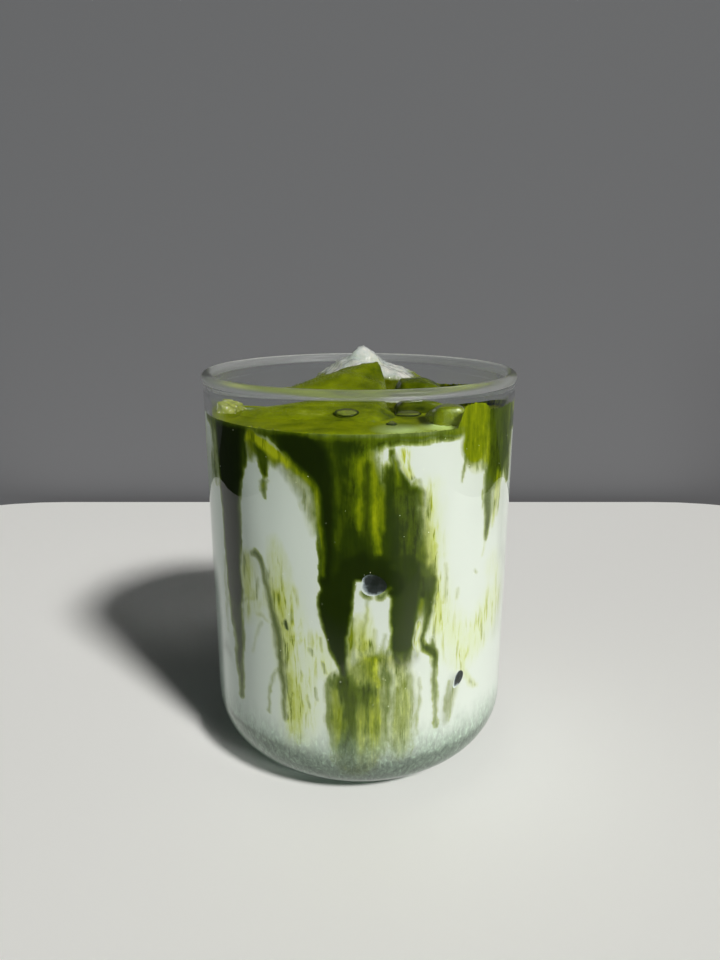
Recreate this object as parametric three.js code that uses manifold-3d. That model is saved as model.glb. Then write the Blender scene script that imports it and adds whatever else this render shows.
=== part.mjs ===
// An iced matcha latte in a straight glass tumbler, in millimetres, +Z up, standing on z = 0.
// The view from the front looks along +Y. Angles round the wall are degrees from the front,
// positive to the right, so a point on the wall is (r sin a, -r cos a, z).
import * as THREE from "three";
import { mergeVertices } from "three/addons/utils/BufferGeometryUtils.js";
import Module from "manifold-3d";

const wasm = await Module();
wasm.setup();

// Driving dimensions of the tumbler
const OUTER_RADIUS = 40;
const HEIGHT = 102;
const WALL = 1.8;
const BASE = 4;
const CORNER_RADIUS = 14;
const LIP_DIAMETER = 2.5;
const LIP_PROUD = 0.3;
const LIP_SWEEP = [-30, 210];

// Driving dimensions of the drink
const LEVEL = 91.9;
const MATCHA_LAYER = 5;
const MENISCUS = 0.6;
const GAP = 0.3;

// How finely round shapes are cut
const ROUND_STEPS = 64;
const CORNER_STEPS = 6;
const LIP_STEPS = 6;
const ICE_DETAIL = 3;
const RUN_STEPS = 6;
const RUN_POINTS = 5;

const INNER_RADIUS = OUTER_RADIUS - WALL;
const INNER_CORNER = CORNER_RADIUS - WALL;
const DRINK_RADIUS = INNER_RADIUS - GAP;

// How sharp the edges of melting ice are: higher is sharper
const ICE_EDGE = 14;

// Each piece of ice is one lump or more, grown together. A lump has a middle and flat sides:
// [direction round Z from +X, tilt up, distance]. Only the piece at the back is bare; the others are
// coated with matcha.
const ICE = {
  ice_back: {
    finish: "clear_ice",
    lumps: [
      {
        middle: [2, 19, 91],
        sides: [
          [195, 51, 13.1],
          [345, 71, 11.1],
          [88, 42, 10.5],
          [180, -10, 15.5],
          [268, -22, 8.2],
          [5, -4, 17.5],
          [90, -14, 11],
          [0, -85, 13],
        ],
      },
      {
        middle: [1.4, 17.5, 100],
        sides: [
          [178, 8, 3.6],
          [350, 44, 4.9],
          [180, 66, 6.2],
          [270, 24, 4.2],
          [90, 34, 4.4],
          [0, -85, 6],
        ],
      },
    ],
  },
  ice_front: {
    finish: "matcha_ice",
    lumps: [
      {
        middle: [-11, -9, 90],
        sides: [
          [258, 64, 7.6],
          [178, 70, 9.4],
          [111, 30, 13],
          [5, 8, 19.2],
          [172, -14, 16.6],
          [262, -30, 12.3],
          [90, -20, 8.9],
          [0, -85, 11.6],
        ],
      },
    ],
  },
  ice_middle: {
    finish: "matcha_ice",
    lumps: [
      {
        middle: [17, -0.4, 89],
        sides: [
          [250, 80, 10.9],
          [85, 60, 10.4],
          [0, 52, 9],
          [0, -10, 8],
          [180, 0, 7.6],
          [270, -6, 5.6],
          [90, -8, 5.6],
          [0, -85, 10],
        ],
      },
    ],
  },
  ice_left: {
    finish: "matcha_ice",
    lumps: [
      {
        middle: [-32.6, -6, 88.5],
        sides: [
          [182, 4, 3.7],
          [225, 0, 5.5],
          [140, 0, 7],
          [0, -4, 2.5],
          [275, 10, 7.6],
          [85, 5, 7.2],
          [200, 62, 7.6],
          [330, 66, 6.8],
          [0, -85, 10],
        ],
      },
    ],
  },
  ice_right: {
    finish: "matcha_ice",
    lumps: [
      {
        middle: [20.4, -22, 88],
        sides: [
          [352, 0, 4.6],
          [186, 2, 4.6],
          [272, 6, 6.4],
          [92, 0, 7],
          [284, 77, 9.9],
          [24, 46, 8.6],
          [160, 50, 8.8],
          [0, -85, 11],
        ],
      },
    ],
  },
};

// Runs of matcha down the wall. Each station is [angle, height, half of the width in degrees].
const RUNS = {
  left_column: {
    depth: 3,
    stations: [[-51, 91, 11], [-50, 80, 8], [-50, 62, 5.5], [-49, 42, 3.5], [-49, 21, 0.8]],
  },
  small_drip: {
    depth: 1.6,
    stations: [[-34, 91, 6], [-33.5, 87, 3], [-33, 78, 0.7]],
  },
  curtain: {
    depth: 4,
    stations: [[-13, 91, 22], [-8, 87, 17], [-1, 81, 16.5], [4.5, 70, 17.5], [6.5, 60.5, 18.5]],
  },
  middle_tongue: {
    depth: 3.4,
    stations: [[-6, 66, 6.5], [-7.8, 56, 4.8], [-7.2, 47, 3.8], [-4.6, 36, 0.9]],
  },
  right_leg: {
    depth: 3.4,
    stations: [[17, 66, 8], [17.5, 57, 7], [15.5, 48, 4.8], [15, 39, 3.2]],
  },
  thin_streak: {
    depth: 1.8,
    stations: [[22.5, 62, 4], [24.5, 52, 2.2], [25, 44, 2.6], [28, 36, 1.6], [29, 23, 0.6]],
  },
  right_sheet: {
    depth: 2,
    stations: [[53, 91, 16], [54, 86, 14.5], [56, 79, 9]],
  },
  right_streak: {
    depth: 2,
    stations: [[53, 82, 5], [52.5, 74, 3.6], [51, 62, 0.7]],
  },
  side_drip: {
    depth: 2,
    stations: [[59, 82, 4], [59, 74, 2.4], [58, 66, 0.7]],
  },
  back_right: {
    depth: 3,
    stations: [[101, 91, 13], [103, 78, 8], [102, 60, 5.5], [104, 44, 0.9]],
  },
  back_streak: {
    depth: 2.2,
    stations: [[131, 91, 9], [130, 72, 4.5], [132, 38, 3], [131, 22, 0.7]],
  },
  back_curtain: {
    depth: 3.6,
    stations: [[171, 91, 21], [172, 80, 15], [170, 66, 10.5], [172, 50, 5.5], [173, 38, 0.9]],
  },
  back_drip: {
    depth: 1.8,
    stations: [[205, 91, 8], [206, 84, 4], [205, 73, 0.8]],
  },
  back_left: {
    depth: 2.8,
    stations: [[236, 91, 15], [234, 76, 8], [236, 56, 5], [235, 30, 0.8]],
  },
  far_left: {
    depth: 2,
    stations: [[275, 91, 9], [276, 82, 5], [275, 68, 0.8]],
  },
};

function finish(color, roughness, opacity = 1) {
  return new THREE.MeshStandardMaterial({
    color,
    roughness,
    metalness: 0,
    transparent: opacity < 1,
    opacity,
  });
}

const FINISHES = {
  glass: finish(0xdfe6e2, 0.05, 0.35),
  milk: finish(0xe9eee6, 0.35),
  matcha: finish(0x3f5408, 0.25),
  clear_ice: finish(0xdde3d0, 0.12, 0.6),
  matcha_ice: finish(0x74850f, 0.15, 0.85),
};

// Solids from three.js geometry, and back

function toSolid(geometry) {
  const bare = new THREE.BufferGeometry();
  const source = geometry.index ? geometry.toNonIndexed() : geometry;
  bare.setAttribute("position", source.getAttribute("position").clone());
  const merged = mergeVertices(bare, 1e-4);
  const corners = [];
  for (let i = 0; i < merged.index.count; i += 3) {
    const [a, b, c] = [0, 1, 2].map((k) => merged.index.getX(i + k));
    if (a !== b && b !== c && c !== a) corners.push(a, b, c);
  }
  const build = (triangles) =>
    new wasm.Manifold(
      new wasm.Mesh({
        numProp: 3,
        vertProperties: new Float32Array(merged.attributes.position.array),
        triVerts: new Uint32Array(triangles),
      }),
    );
  const solid = build(corners);
  return solid.volume() > 0 ? solid : build(corners.reverse());
}

function toMesh(name, solid, material) {
  const made = solid.getMesh();
  const geometry = new THREE.BufferGeometry();
  geometry.setAttribute("position", new THREE.BufferAttribute(new Float32Array(made.vertProperties), 3));
  geometry.setIndex(new THREE.BufferAttribute(new Uint32Array(made.triVerts), 1));
  geometry.computeVertexNormals();
  const mesh = new THREE.Mesh(geometry, material);
  mesh.name = name;
  return mesh;
}

// A closed surface through rings of equally many points, with a flat end at each side.
function skin(rings) {
  const points = rings.flat();
  const around = rings[0].length;
  const faces = [];
  for (let i = 0; i + 1 < rings.length; i++) {
    for (let k = 0; k < around; k++) {
      const [a, b] = [i * around + k, i * around + ((k + 1) % around)];
      faces.push(a, b, b + around, a, b + around, a + around);
    }
  }
  const last = (rings.length - 1) * around;
  for (let k = 1; k + 1 < around; k++) {
    faces.push(0, k + 1, k, last, last + k, last + k + 1);
  }
  const geometry = new THREE.BufferGeometry();
  geometry.setAttribute("position", new THREE.Float32BufferAttribute(points.flat(), 3));
  geometry.setIndex(faces);
  return geometry;
}

// Round shapes

function arc(centreR, centreZ, radius, from, to, steps) {
  return Array.from({ length: steps + 1 }, (_, i) => {
    const a = THREE.MathUtils.degToRad(from + ((to - from) * i) / steps);
    return new THREE.Vector2(centreR + radius * Math.cos(a), centreZ + radius * Math.sin(a));
  });
}

function turned(profile) {
  return toSolid(new THREE.LatheGeometry(profile, ROUND_STEPS).rotateX(Math.PI / 2));
}

// The inside of the tumbler from the axis outwards and up the wall, held clear of the glass.
function insideProfile(clear, top) {
  const corner = INNER_CORNER - clear;
  return [
    new THREE.Vector2(0, BASE + clear),
    ...arc(INNER_RADIUS - INNER_CORNER, BASE + INNER_CORNER, corner, -90, 0, CORNER_STEPS),
    new THREE.Vector2(INNER_RADIUS - clear, top),
  ];
}

function tumbler() {
  const lip = LIP_DIAMETER / 2;
  const lipRadius = OUTER_RADIUS + LIP_PROUD - lip;
  const lipHeight = HEIGHT - lip;
  return turned([
    new THREE.Vector2(0, 0),
    ...arc(OUTER_RADIUS - CORNER_RADIUS, CORNER_RADIUS, CORNER_RADIUS, -90, 0, CORNER_STEPS),
    new THREE.Vector2(OUTER_RADIUS, lipHeight - LIP_DIAMETER),
    ...arc(lipRadius, lipHeight, lip, ...LIP_SWEEP, LIP_STEPS),
    ...insideProfile(0, lipHeight - LIP_DIAMETER).reverse(),
  ]);
}

function drinkTo(top) {
  return turned([...insideProfile(GAP, top), new THREE.Vector2(0, top)]);
}

// The layer of matcha: flat on top, drawn up a little where it wets the wall.
function matchaLayer() {
  const low = LEVEL - MATCHA_LAYER;
  return turned([
    new THREE.Vector2(0, low),
    new THREE.Vector2(DRINK_RADIUS, low),
    new THREE.Vector2(DRINK_RADIUS, LEVEL + MENISCUS),
    new THREE.Vector2(DRINK_RADIUS - MENISCUS, LEVEL + MENISCUS / 4),
    new THREE.Vector2(DRINK_RADIUS - 3 * MENISCUS, LEVEL),
    new THREE.Vector2(0, LEVEL),
  ]);
}

// A lump of ice, whose surface lies in every direction where its flat sides, blended, are met.

function lump({ middle, sides }, grown) {
  const planes = sides.map(([round, tilt, distance]) => {
    const [a, t] = [THREE.MathUtils.degToRad(round), THREE.MathUtils.degToRad(tilt)];
    const normal = new THREE.Vector3(Math.cos(t) * Math.cos(a), Math.cos(t) * Math.sin(a), Math.sin(t));
    return { normal, distance };
  });
  const ball = new THREE.IcosahedronGeometry(1, ICE_DETAIL);
  const place = ball.getAttribute("position");
  const way = new THREE.Vector3();
  for (let i = 0; i < place.count; i++) {
    way.fromBufferAttribute(place, i).normalize();
    const met = planes.reduce(
      (sum, { normal, distance }) => sum + Math.max(0, way.dot(normal) / distance) ** ICE_EDGE,
      0,
    );
    way.multiplyScalar(met ** (-1 / ICE_EDGE) + grown).add(new THREE.Vector3(...middle));
    place.setXYZ(i, way.x, way.y, way.z);
  }
  return toSolid(ball);
}

function ice({ lumps }, grown) {
  return wasm.Manifold.union(lumps.map((one) => lump(one, grown)));
}

// A run of matcha: a lens-shaped strip that lies on the wall and follows its stations down.
function run({ depth, stations }, grown) {
  const course = new THREE.CatmullRomCurve3(stations.map((s) => new THREE.Vector3(...s)));
  const spread = THREE.MathUtils.radToDeg(grown / DRINK_RADIUS);
  const rings = [];
  for (let i = 0; i <= RUN_STEPS; i++) {
    const { x: angle, y: height, z: half } = course.getPoint(i / RUN_STEPS);
    const end = i === 0 ? grown : i === RUN_STEPS ? -grown : 0;
    const onWall = [];
    const inside = [];
    for (let k = 0; k < RUN_POINTS; k++) {
      const t = (2 * k) / (RUN_POINTS - 1) - 1;
      const a = THREE.MathUtils.degToRad(angle + (half + spread) * t);
      const place = (r) => [r * Math.sin(a), -r * Math.cos(a), height + end];
      onWall.push(place(DRINK_RADIUS + 3 * grown));
      inside.push(place(DRINK_RADIUS - grown - Math.min(depth, half) * Math.sqrt(1 - t * t)));
    }
    rings.push([...onWall, ...inside.reverse()]);
  }
  return toSolid(skin(rings));
}

// The drink, cut round the ice

const iceRoom = Object.values(ICE).map((piece) => ice(piece, GAP));
const cutRound = (solid, cutters) => cutters.reduce((left, cutter) => left.subtract(cutter), solid);
const largest = (solid) => solid.decompose().sort((a, b) => b.volume() - a.volume())[0];

function matcha() {
  const joined = Object.values(RUNS).reduce((all, course) => all.add(run(course, 0)), matchaLayer());
  return largest(cutRound(joined, iceRoom));
}

function milk() {
  const body = drinkTo(LEVEL - MATCHA_LAYER - GAP);
  const runRoom = Object.values(RUNS).map((course) => run(course, GAP));
  return largest(cutRound(body, [...runRoom, ...iceRoom]));
}

const latte = new THREE.Group();
latte.name = "iced_matcha_latte";
latte.add(toMesh("glass", tumbler(), FINISHES.glass));
latte.add(toMesh("milk", milk(), FINISHES.milk));
latte.add(toMesh("matcha", matcha(), FINISHES.matcha));
for (const [name, piece] of Object.entries(ICE)) {
  latte.add(toMesh(name, ice(piece, 0), FINISHES[piece.finish]));
}

export default latte;
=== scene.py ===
"""The looks of an iced matcha latte in a straight glass tumbler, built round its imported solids.

Blender objects are in metres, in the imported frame: the tumbler stands on z = 0 and its front is -Y.
Places on the wall are given as degrees from the front, positive to the right, and millimetres of height.
"""

import math

import bpy
import numpy as np
from bpy.props import FloatProperty, FloatVectorProperty, PointerProperty
from mathutils import Matrix, Vector, noise
from mathutils.bvhtree import BVHTree


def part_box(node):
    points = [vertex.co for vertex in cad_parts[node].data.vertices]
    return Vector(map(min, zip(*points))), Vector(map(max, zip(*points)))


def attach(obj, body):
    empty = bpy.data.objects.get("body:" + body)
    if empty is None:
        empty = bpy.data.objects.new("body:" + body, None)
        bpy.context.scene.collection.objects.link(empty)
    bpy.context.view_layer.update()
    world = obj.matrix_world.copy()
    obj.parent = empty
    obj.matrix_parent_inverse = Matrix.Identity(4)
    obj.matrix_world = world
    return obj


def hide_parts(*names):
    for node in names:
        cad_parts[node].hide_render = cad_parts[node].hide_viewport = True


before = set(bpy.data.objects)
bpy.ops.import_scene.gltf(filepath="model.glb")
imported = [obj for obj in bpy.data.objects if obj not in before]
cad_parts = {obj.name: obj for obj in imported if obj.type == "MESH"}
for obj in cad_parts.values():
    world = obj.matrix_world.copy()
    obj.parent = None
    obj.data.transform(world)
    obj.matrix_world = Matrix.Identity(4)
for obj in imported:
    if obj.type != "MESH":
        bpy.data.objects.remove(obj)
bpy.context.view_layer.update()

bl_info = {
    "name": "Iced matcha latte",
    "version": (1, 0, 0),
    "blender": (4, 5, 0),
    "location": "View3D > Sidebar > Latte",
    "description": "Makes an iced matcha latte in a glass tumbler",
    "category": "Object",
}

MM = 0.001
BODY = "root"
ICE_PIECES = {
    "ice_back": "clear_ice",
    "ice_front": "matcha_ice",
    "ice_middle": "matcha_ice",
    "ice_left": "matcha_ice",
    "ice_right": "matcha_ice",
}

# What the frame says about the tumbler and the drink
GLASS_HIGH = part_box("glass")[1]
MILK_LOW, MILK_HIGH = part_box("milk")
MATCHA_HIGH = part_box("matcha")[1]
LIP_PROUD = 0.3 * MM
TUMBLER_RADIUS = GLASS_HIGH.x - LIP_PROUD
TUMBLER_HEIGHT = GLASS_HIGH.z
SOLID_GAP = 0.3 * MM
INSIDE_RADIUS = MILK_HIGH.x + SOLID_GAP
BASE_THICKNESS = MILK_LOW.z - SOLID_GAP
MENISCUS = 0.6 * MM
LEVEL = MATCHA_HIGH.z - MENISCUS
LAYER_BOTTOM = MILK_HIGH.z + SOLID_GAP / 2


def srgb(red, green, blue):
    """A colour given as the numbers of a screen, 0 to 255, in linear light."""
    return tuple(
        c / 12.92 if c <= 0.04045 else ((c + 0.055) / 1.055) ** 2.4
        for c in (red / 255, green / 255, blue / 255)
    )


# Runs of matcha inside the wall: how deep each is, then [angle, height, half width in degrees].
RUNS = {
    "left_column": (3.0, [(-51, 91, 11), (-50, 80, 8), (-50, 62, 5.5), (-49, 42, 3.5), (-49, 21, 0.8)]),
    "small_drip": (1.6, [(-34, 91, 6), (-33.5, 87, 3), (-33, 78, 0.7)]),
    "curtain": (4.0, [(-13, 91, 22), (-8, 87, 17), (-1, 81, 16.5), (4.5, 70, 17.5), (6.5, 60.5, 18.5)]),
    "middle_tongue": (3.4, [(-6, 66, 6.5), (-7.8, 56, 4.8), (-7.2, 47, 3.8), (-4.6, 36, 0.9)]),
    "right_leg": (3.4, [(17, 66, 8), (17.5, 57, 7), (15.5, 48, 4.8), (15, 39, 3.2)]),
    "thin_streak": (1.8, [(22.5, 62, 4), (24.5, 52, 2.2), (25, 44, 2.6), (28, 36, 1.6), (29, 23, 0.6)]),
    "right_sheet": (2.0, [(53, 91, 16), (54, 86, 14.5), (56, 79, 9)]),
    "right_streak": (2.0, [(53, 82, 5), (52.5, 74, 3.6), (51, 62, 0.7)]),
    "side_drip": (2.0, [(59, 82, 4), (59, 74, 2.4), (58, 66, 0.7)]),
    "back_right": (3.0, [(101, 91, 13), (103, 78, 8), (102, 60, 5.5), (104, 44, 0.9)]),
    "back_streak": (2.2, [(131, 91, 9), (130, 72, 4.5), (132, 38, 3), (131, 22, 0.7)]),
    "back_curtain": (3.6, [(171, 91, 21), (172, 80, 15), (170, 66, 10.5), (172, 50, 5.5), (173, 38, 0.9)]),
    "back_drip": (1.8, [(205, 91, 8), (206, 84, 4), (205, 73, 0.8)]),
    "back_left": (2.8, [(236, 91, 15), (234, 76, 8), (236, 56, 5), (235, 30, 0.8)]),
    "far_left": (2.0, [(275, 91, 9), (276, 82, 5), (275, 68, 0.8)]),
}
BACK_RUNS = ("back_right", "back_streak", "back_curtain", "back_drip", "back_left", "far_left")

# What shows on the wall, painted in this order: how strong the matcha is (0 is milk, 1 is thick matcha),
# how much of what lies below it the stroke hides, how soft its edge is in millimetres, then its stations
# [angle, height, half width in millimetres].
STRENGTH = [
    # Faint tints in the milk
    (0.14, 0.55, 3.0, [(24.5, 80, 1), (25.5, 70, 1.6), (26.5, 60, 2), (29, 50, 3), (34, 43, 4), (44, 38, 5),
        (56, 45, 4)]),
    (0.14, 0.35, 3.0, [(58, 56, 2.5), (62, 50, 3), (65, 44, 3), (62, 38, 2)]),
    (0.14, 0.50, 3.0, [(-27, 52, 4), (-24, 44, 4), (-22, 34, 4), (-22, 24, 4), (-23, 17, 3)]),
    (0.20, 0.45, 2.5, [(-43, 60, 2), (-42, 55, 3), (-42, 50, 3), (-44, 46, 1.5)]),
    (0.16, 0.50, 2.0, [(-14, 44, 1), (-12.5, 40, 1.5), (-11.5, 36, 1.5)]),
    # The streaked foot of the middle
    (0.55, 0.88, 1.4, [(4.5, 44, 0.8), (4, 40, 2.4), (2, 36, 4), (-0.5, 32, 6), (-0.8, 26, 6.6),
        (-0.5, 20, 6.6), (-0.5, 14, 6), (-1, 10.5, 4.5)]),
    (0.44, 0.75, 1.6, [(14, 37, 2.2), (14.8, 31, 2.8), (15, 24, 3), (14.5, 17, 2.8), (14.5, 13, 2)]),
    (0.50, 0.80, 1.2, [(5.5, 43, 0.8), (5, 39, 1.5), (4, 36, 1.8), (6.5, 33, 1.2)]),
    (0.54, 0.70, 1.2, [(6, 29, 1.2), (6.5, 24, 1.4), (6.5, 18, 1.2)]),
    (0.54, 0.70, 1.0, [(-8.5, 33, 1.2), (-8.8, 28, 1.5), (-8.5, 22, 1.6), (-7.5, 16, 1.6)]),
    (0.70, 0.85, 1.4, [(-6.5, 34, 1.6), (-4, 32.6, 2.4), (-1, 31, 2.6), (3, 30.6, 2)]),
    (0.34, 0.60, 0.8, [(-6.2, 27, 0.5), (-6, 22, 0.8), (-6, 16, 0.6)]),
    (0.34, 0.50, 0.8, [(0.3, 27, 0.4), (0.2, 21, 0.7), (0.3, 15, 0.6)]),
    (0.34, 0.50, 0.8, [(4.2, 26, 0.4), (4.4, 20, 0.6), (4.3, 16, 0.4)]),
    (0.80, 0.90, 1.0, [(-5, 36, 0.8), (-3.5, 32, 1.6), (-3, 27, 1.5), (-3.3, 22, 1.4), (-4, 16, 1.6),
        (-4.3, 11.5, 1.6)]),
    (0.62, 0.75, 1.0, [(2.5, 29, 1.2), (2.2, 25, 0.9), (2.3, 20, 0.6)]),
    (0.66, 0.80, 0.8, [(9.3, 40, 0.6), (9.5, 35, 1), (9.6, 30, 0.9), (9.8, 25, 0.6), (10, 18, 0.5)]),
    (0.66, 0.60, 0.35, [(-10, 35, 0.25), (-10.9, 29, 0.3), (-10.8, 23, 0.35), (-9.9, 17, 0.35),
        (-8.7, 12.5, 0.35)]),
    (0.50, 0.50, 0.4, [(17.8, 34, 0.3), (18.3, 28, 0.35), (18, 22, 0.35), (17.4, 17, 0.3)]),
    (0.55, 0.50, 0.4, [(21, 33, 0.3), (21.6, 28, 0.4), (21, 23, 0.4), (20.7, 18, 0.3)]),
    (0.50, 0.50, 0.6, [(13.2, 31, 0.5), (13, 26, 0.5), (13.2, 20, 0.4)]),
    (0.50, 0.50, 0.6, [(15.8, 33, 0.5), (16, 27, 0.6), (15.6, 21, 0.4)]),
    # The wisps on the left, lower down
    (0.24, 0.50, 2.0, [(-30, 66, 1), (-29, 62, 2), (-28, 57, 2.2), (-27, 52, 2)]),
    (0.38, 0.55, 1.6, [(-33.5, 58, 0.6), (-31, 53, 1.6), (-28.5, 48, 2.4), (-27.2, 43, 2.2),
        (-26.8, 38, 1.2)]),
    (0.34, 0.50, 1.0, [(-43.5, 61, 1), (-43.8, 56.5, 1.8), (-43.4, 52.5, 1.6)]),
    (0.30, 0.50, 1.6, [(-26.5, 36, 0.8), (-24.6, 31, 2), (-23.4, 25, 2.4), (-22.8, 20, 1.6),
        (-22, 17, 0.8)]),
    (0.66, 0.88, 0.6, [(-40, 62.3, 0.5), (-38.2, 62.8, 0.8), (-36, 61.3, 0.7), (-34.6, 57.5, 0.5),
        (-33, 53.5, 0.6), (-31.6, 49, 0.8), (-30.2, 44.5, 0.9), (-29, 40, 0.9), (-28.2, 36, 0.8),
        (-28, 31, 0.7), (-28, 26, 0.6), (-27.6, 21, 0.4)]),
    (0.02, 0.80, 0.6, [(-37, 60, 0.3), (-36.4, 57, 0.55), (-36.3, 54, 0.5), (-37.2, 51.5, 0.3)]),
    (0.50, 0.50, 0.5, [(-46.5, 48.5, 0.3), (-43.5, 50.2, 0.3), (-40.5, 51, 0.3), (-38, 53.2, 0.4),
        (-37.3, 56, 0.3)]),
    (0.50, 0.50, 0.5, [(-25.5, 33, 0.4), (-24.8, 28, 0.5), (-24.3, 22, 0.4)]),
    (0.45, 0.45, 0.5, [(-22, 31, 0.3), (-21.6, 26, 0.4), (-21.5, 21, 0.3)]),
    (0.55, 0.55, 0.35, [(-29.6, 34, 0.35), (-32, 31.6, 0.35), (-33.8, 28.5, 0.35), (-34.4, 25, 0.35),
        (-34.6, 21.5, 0.5)]),
    (0.03, 0.60, 0.8, [(-31, 29, 0.6), (-31.6, 25, 0.9), (-31.4, 21, 0.6)]),
    (0.93, 0.95, 0.3, [(-26.2, 47.4, 0.4), (-26, 45.6, 0.4)]),
    (0.45, 0.45, 0.5, [(-37, 45, 0.3), (-39, 42.5, 0.35), (-40, 39.5, 0.35), (-42, 36, 0.3)]),
    (0.40, 0.40, 0.5, [(-34.5, 46, 0.4), (-36.5, 47.2, 0.4), (-39, 47, 0.3)]),
    (0.60, 0.50, 0.3, [(-17.6, 41, 0.3), (-16.6, 39.6, 0.25)]),
    (0.60, 0.50, 0.3, [(-13.5, 44, 0.25), (-13, 41, 0.3)]),
    (0.60, 0.50, 0.3, [(-12.6, 38, 0.3), (-11.8, 35.5, 0.3)]),
    (0.60, 0.50, 0.3, [(-20.5, 34.8, 0.2), (-20.9, 32, 0.2)]),
    (0.60, 0.50, 0.3, [(-15, 31, 0.25), (-14.6, 28, 0.25)]),
    (0.60, 0.50, 0.3, [(-18.6, 29, 0.2), (-18.2, 26, 0.2)]),
    # Lines and bits in the white on the right
    (0.22, 0.35, 1.4, [(24.5, 76, 0.5), (24.8, 70, 0.8), (25.6, 64, 0.9)]),
    (0.22, 0.50, 1.0, [(27.5, 57, 0.8), (28.2, 50, 1), (27.8, 45, 0.8)]),
    (0.58, 0.50, 0.4, [(31, 61, 0.2), (31.2, 57, 0.3), (30.7, 53, 0.3), (30.2, 51, 0.15)]),
    (0.42, 0.50, 0.5, [(26.5, 66, 0.3), (26.2, 62, 0.5), (26.6, 58.5, 0.4)]),
    (0.40, 0.40, 0.5, [(36.2, 54, 0.3), (36, 51.5, 0.4)]),
    (0.60, 0.40, 0.4, [(44.6, 57.2, 0.3), (46, 56.2, 0.4)]),
    (0.24, 0.45, 0.8, [(41.5, 36, 0.4), (40.8, 33, 0.5), (42.5, 29.5, 0.7), (45.5, 26.5, 0.7),
        (49, 24.8, 0.4)]),
    (0.42, 0.60, 1.2, [(37.2, 29, 0.8), (35.5, 25.5, 1.1), (34.2, 22, 0.9), (33.2, 19.5, 0.4)]),
    (0.55, 0.50, 0.5, [(33.8, 30, 0.4), (33.2, 26.5, 0.5), (32.8, 22, 0.4)]),
    # The band at the top
    (0.84, 1.0, 1.0, [(-70, 92, 0.5), (-61, 91.3, 1.6), (-50, 90.9, 2.6), (-41.5, 91.6, 1.4),
        (-34.5, 92, 1.1), (-27.3, 91.2, 1.8), (-18.3, 89.8, 3.2), (-8.3, 89.3, 3.6), (1.7, 90.4, 2.2),
        (9.7, 91.4, 1.2), (21.6, 91.6, 1.2), (35.5, 92, 0.9)]),
    # The column on the left
    (0.62, 0.85, 1.2, [(-61.5, 91, 2.4), (-61, 86, 2.2), (-61.2, 81, 2), (-62, 78, 1.6)]),
    (0.50, 0.55, 1.6, [(-63.5, 84, 0.8), (-65.3, 80.5, 1.2), (-66.3, 77.5, 0.9), (-66.8, 75.5, 0.5)]),
    (0.80, 1.0, 0.8, [(-44.5, 90.5, 1.4), (-44, 86, 1.2), (-44.6, 81, 0.6)]),
    (0.97, 1.0, 0.9, [(-51.5, 91, 5.4), (-51.5, 85, 5), (-51.3, 80, 4.6), (-51.3, 76, 4.4),
        (-51.6, 70, 3.8), (-51.6, 64, 3.4), (-51.4, 57, 3.2), (-51, 50, 2.8)]),
    (0.92, 0.8, 1.2, [(-51.2, 54, 2.8), (-51, 50, 2.7), (-50.6, 45, 2.3), (-50, 40, 1.6), (-49.9, 34, 1.3),
        (-49.8, 28, 0.9), (-49.6, 22, 0.5)]),
    (0.50, 0.50, 0.6, [(-58.5, 58, 0.4), (-57.9, 50, 0.5), (-57.5, 43, 0.4), (-58, 38, 0.3)]),
    # The mass in the middle, its feathered right and its lighter streaks
    (0.80, 1.0, 1.6, [(10.5, 84, 1.6), (13, 79.5, 3.5), (14.5, 75, 4), (15.5, 69, 4.2), (17, 63, 4.6),
        (18.5, 58, 4.6), (18.3, 53, 4.2)]),
    (0.90, 1.0, 1.2, [(-2.3, 87, 4.5), (-0.3, 81, 5.5), (1.7, 75, 6.5), (2.7, 69, 7), (4, 65, 6)]),
    (0.90, 1.0, 0.6, [(-21.3, 89.8, 4), (-15.3, 86.3, 4.5), (-10.3, 80.9, 3.6), (-8.5, 74.9, 3.6),
        (-8.3, 67, 3.7), (-8.1, 59.1, 3.5)]),
    (0.97, 1.0, 0.8, [(-21.3, 89.8, 3.6), (-15.3, 86.3, 3.9), (-11.5, 80.9, 2.6), (-10.6, 75, 2),
        (-10.5, 67, 1.9), (-10.3, 59, 2)]),
    (0.88, 1.0, 1.0, [(-5.5, 80, 2.2), (-4.8, 72, 2.4), (-4.5, 64, 2.6), (-5, 58, 2.4)]),
    (0.72, 0.70, 1.0, [(-6.8, 88, 0.8), (-6.6, 82, 0.9), (-6.4, 74, 0.7), (-6.3, 67, 0.4)]),
    (0.70, 0.60, 1.2, [(-2.5, 87, 1.2), (-2, 80, 1.2), (-2, 73, 0.9)]),
    (0.95, 1.0, 0.6, [(-4.3, 62.5, 1.6), (3.1, 63.3, 2.4), (9.6, 61.6, 2.2)]),
    (0.66, 0.85, 1.4, [(1.5, 89, 2.2), (2.2, 85, 2.8), (3.2, 81, 3.2), (3.8, 76, 3), (4.4, 71, 2.2),
        (5.2, 66, 1.2)]),
    (0.45, 0.80, 0.7, [(0.1, 87, 0.6), (0.4, 83.5, 0.9), (0.6, 80, 0.5), (0.2, 76, 0.6), (0.4, 71, 0.2)]),
    (0.45, 0.80, 0.7, [(4.3, 88.5, 0.6), (4.8, 84, 0.9), (5, 80, 0.7)]),
    (0.44, 0.80, 0.8, [(4.6, 78, 0.6), (5.4, 74, 1), (5.6, 70.5, 0.7), (6.6, 65.5, 0.2)]),
    (0.42, 0.70, 0.6, [(7.8, 81, 0.5), (8, 76, 0.6), (8.2, 71, 0.4)]),
    (0.86, 0.80, 0.8, [(2.6, 86, 0.5), (2.8, 80, 0.6), (2.6, 73, 0.6), (2.6, 67, 0.4)]),
    (0.86, 0.80, 0.8, [(9.4, 84, 0.5), (9.8, 78, 0.8), (9.8, 71, 1), (9.5, 65, 1)]),
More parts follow.
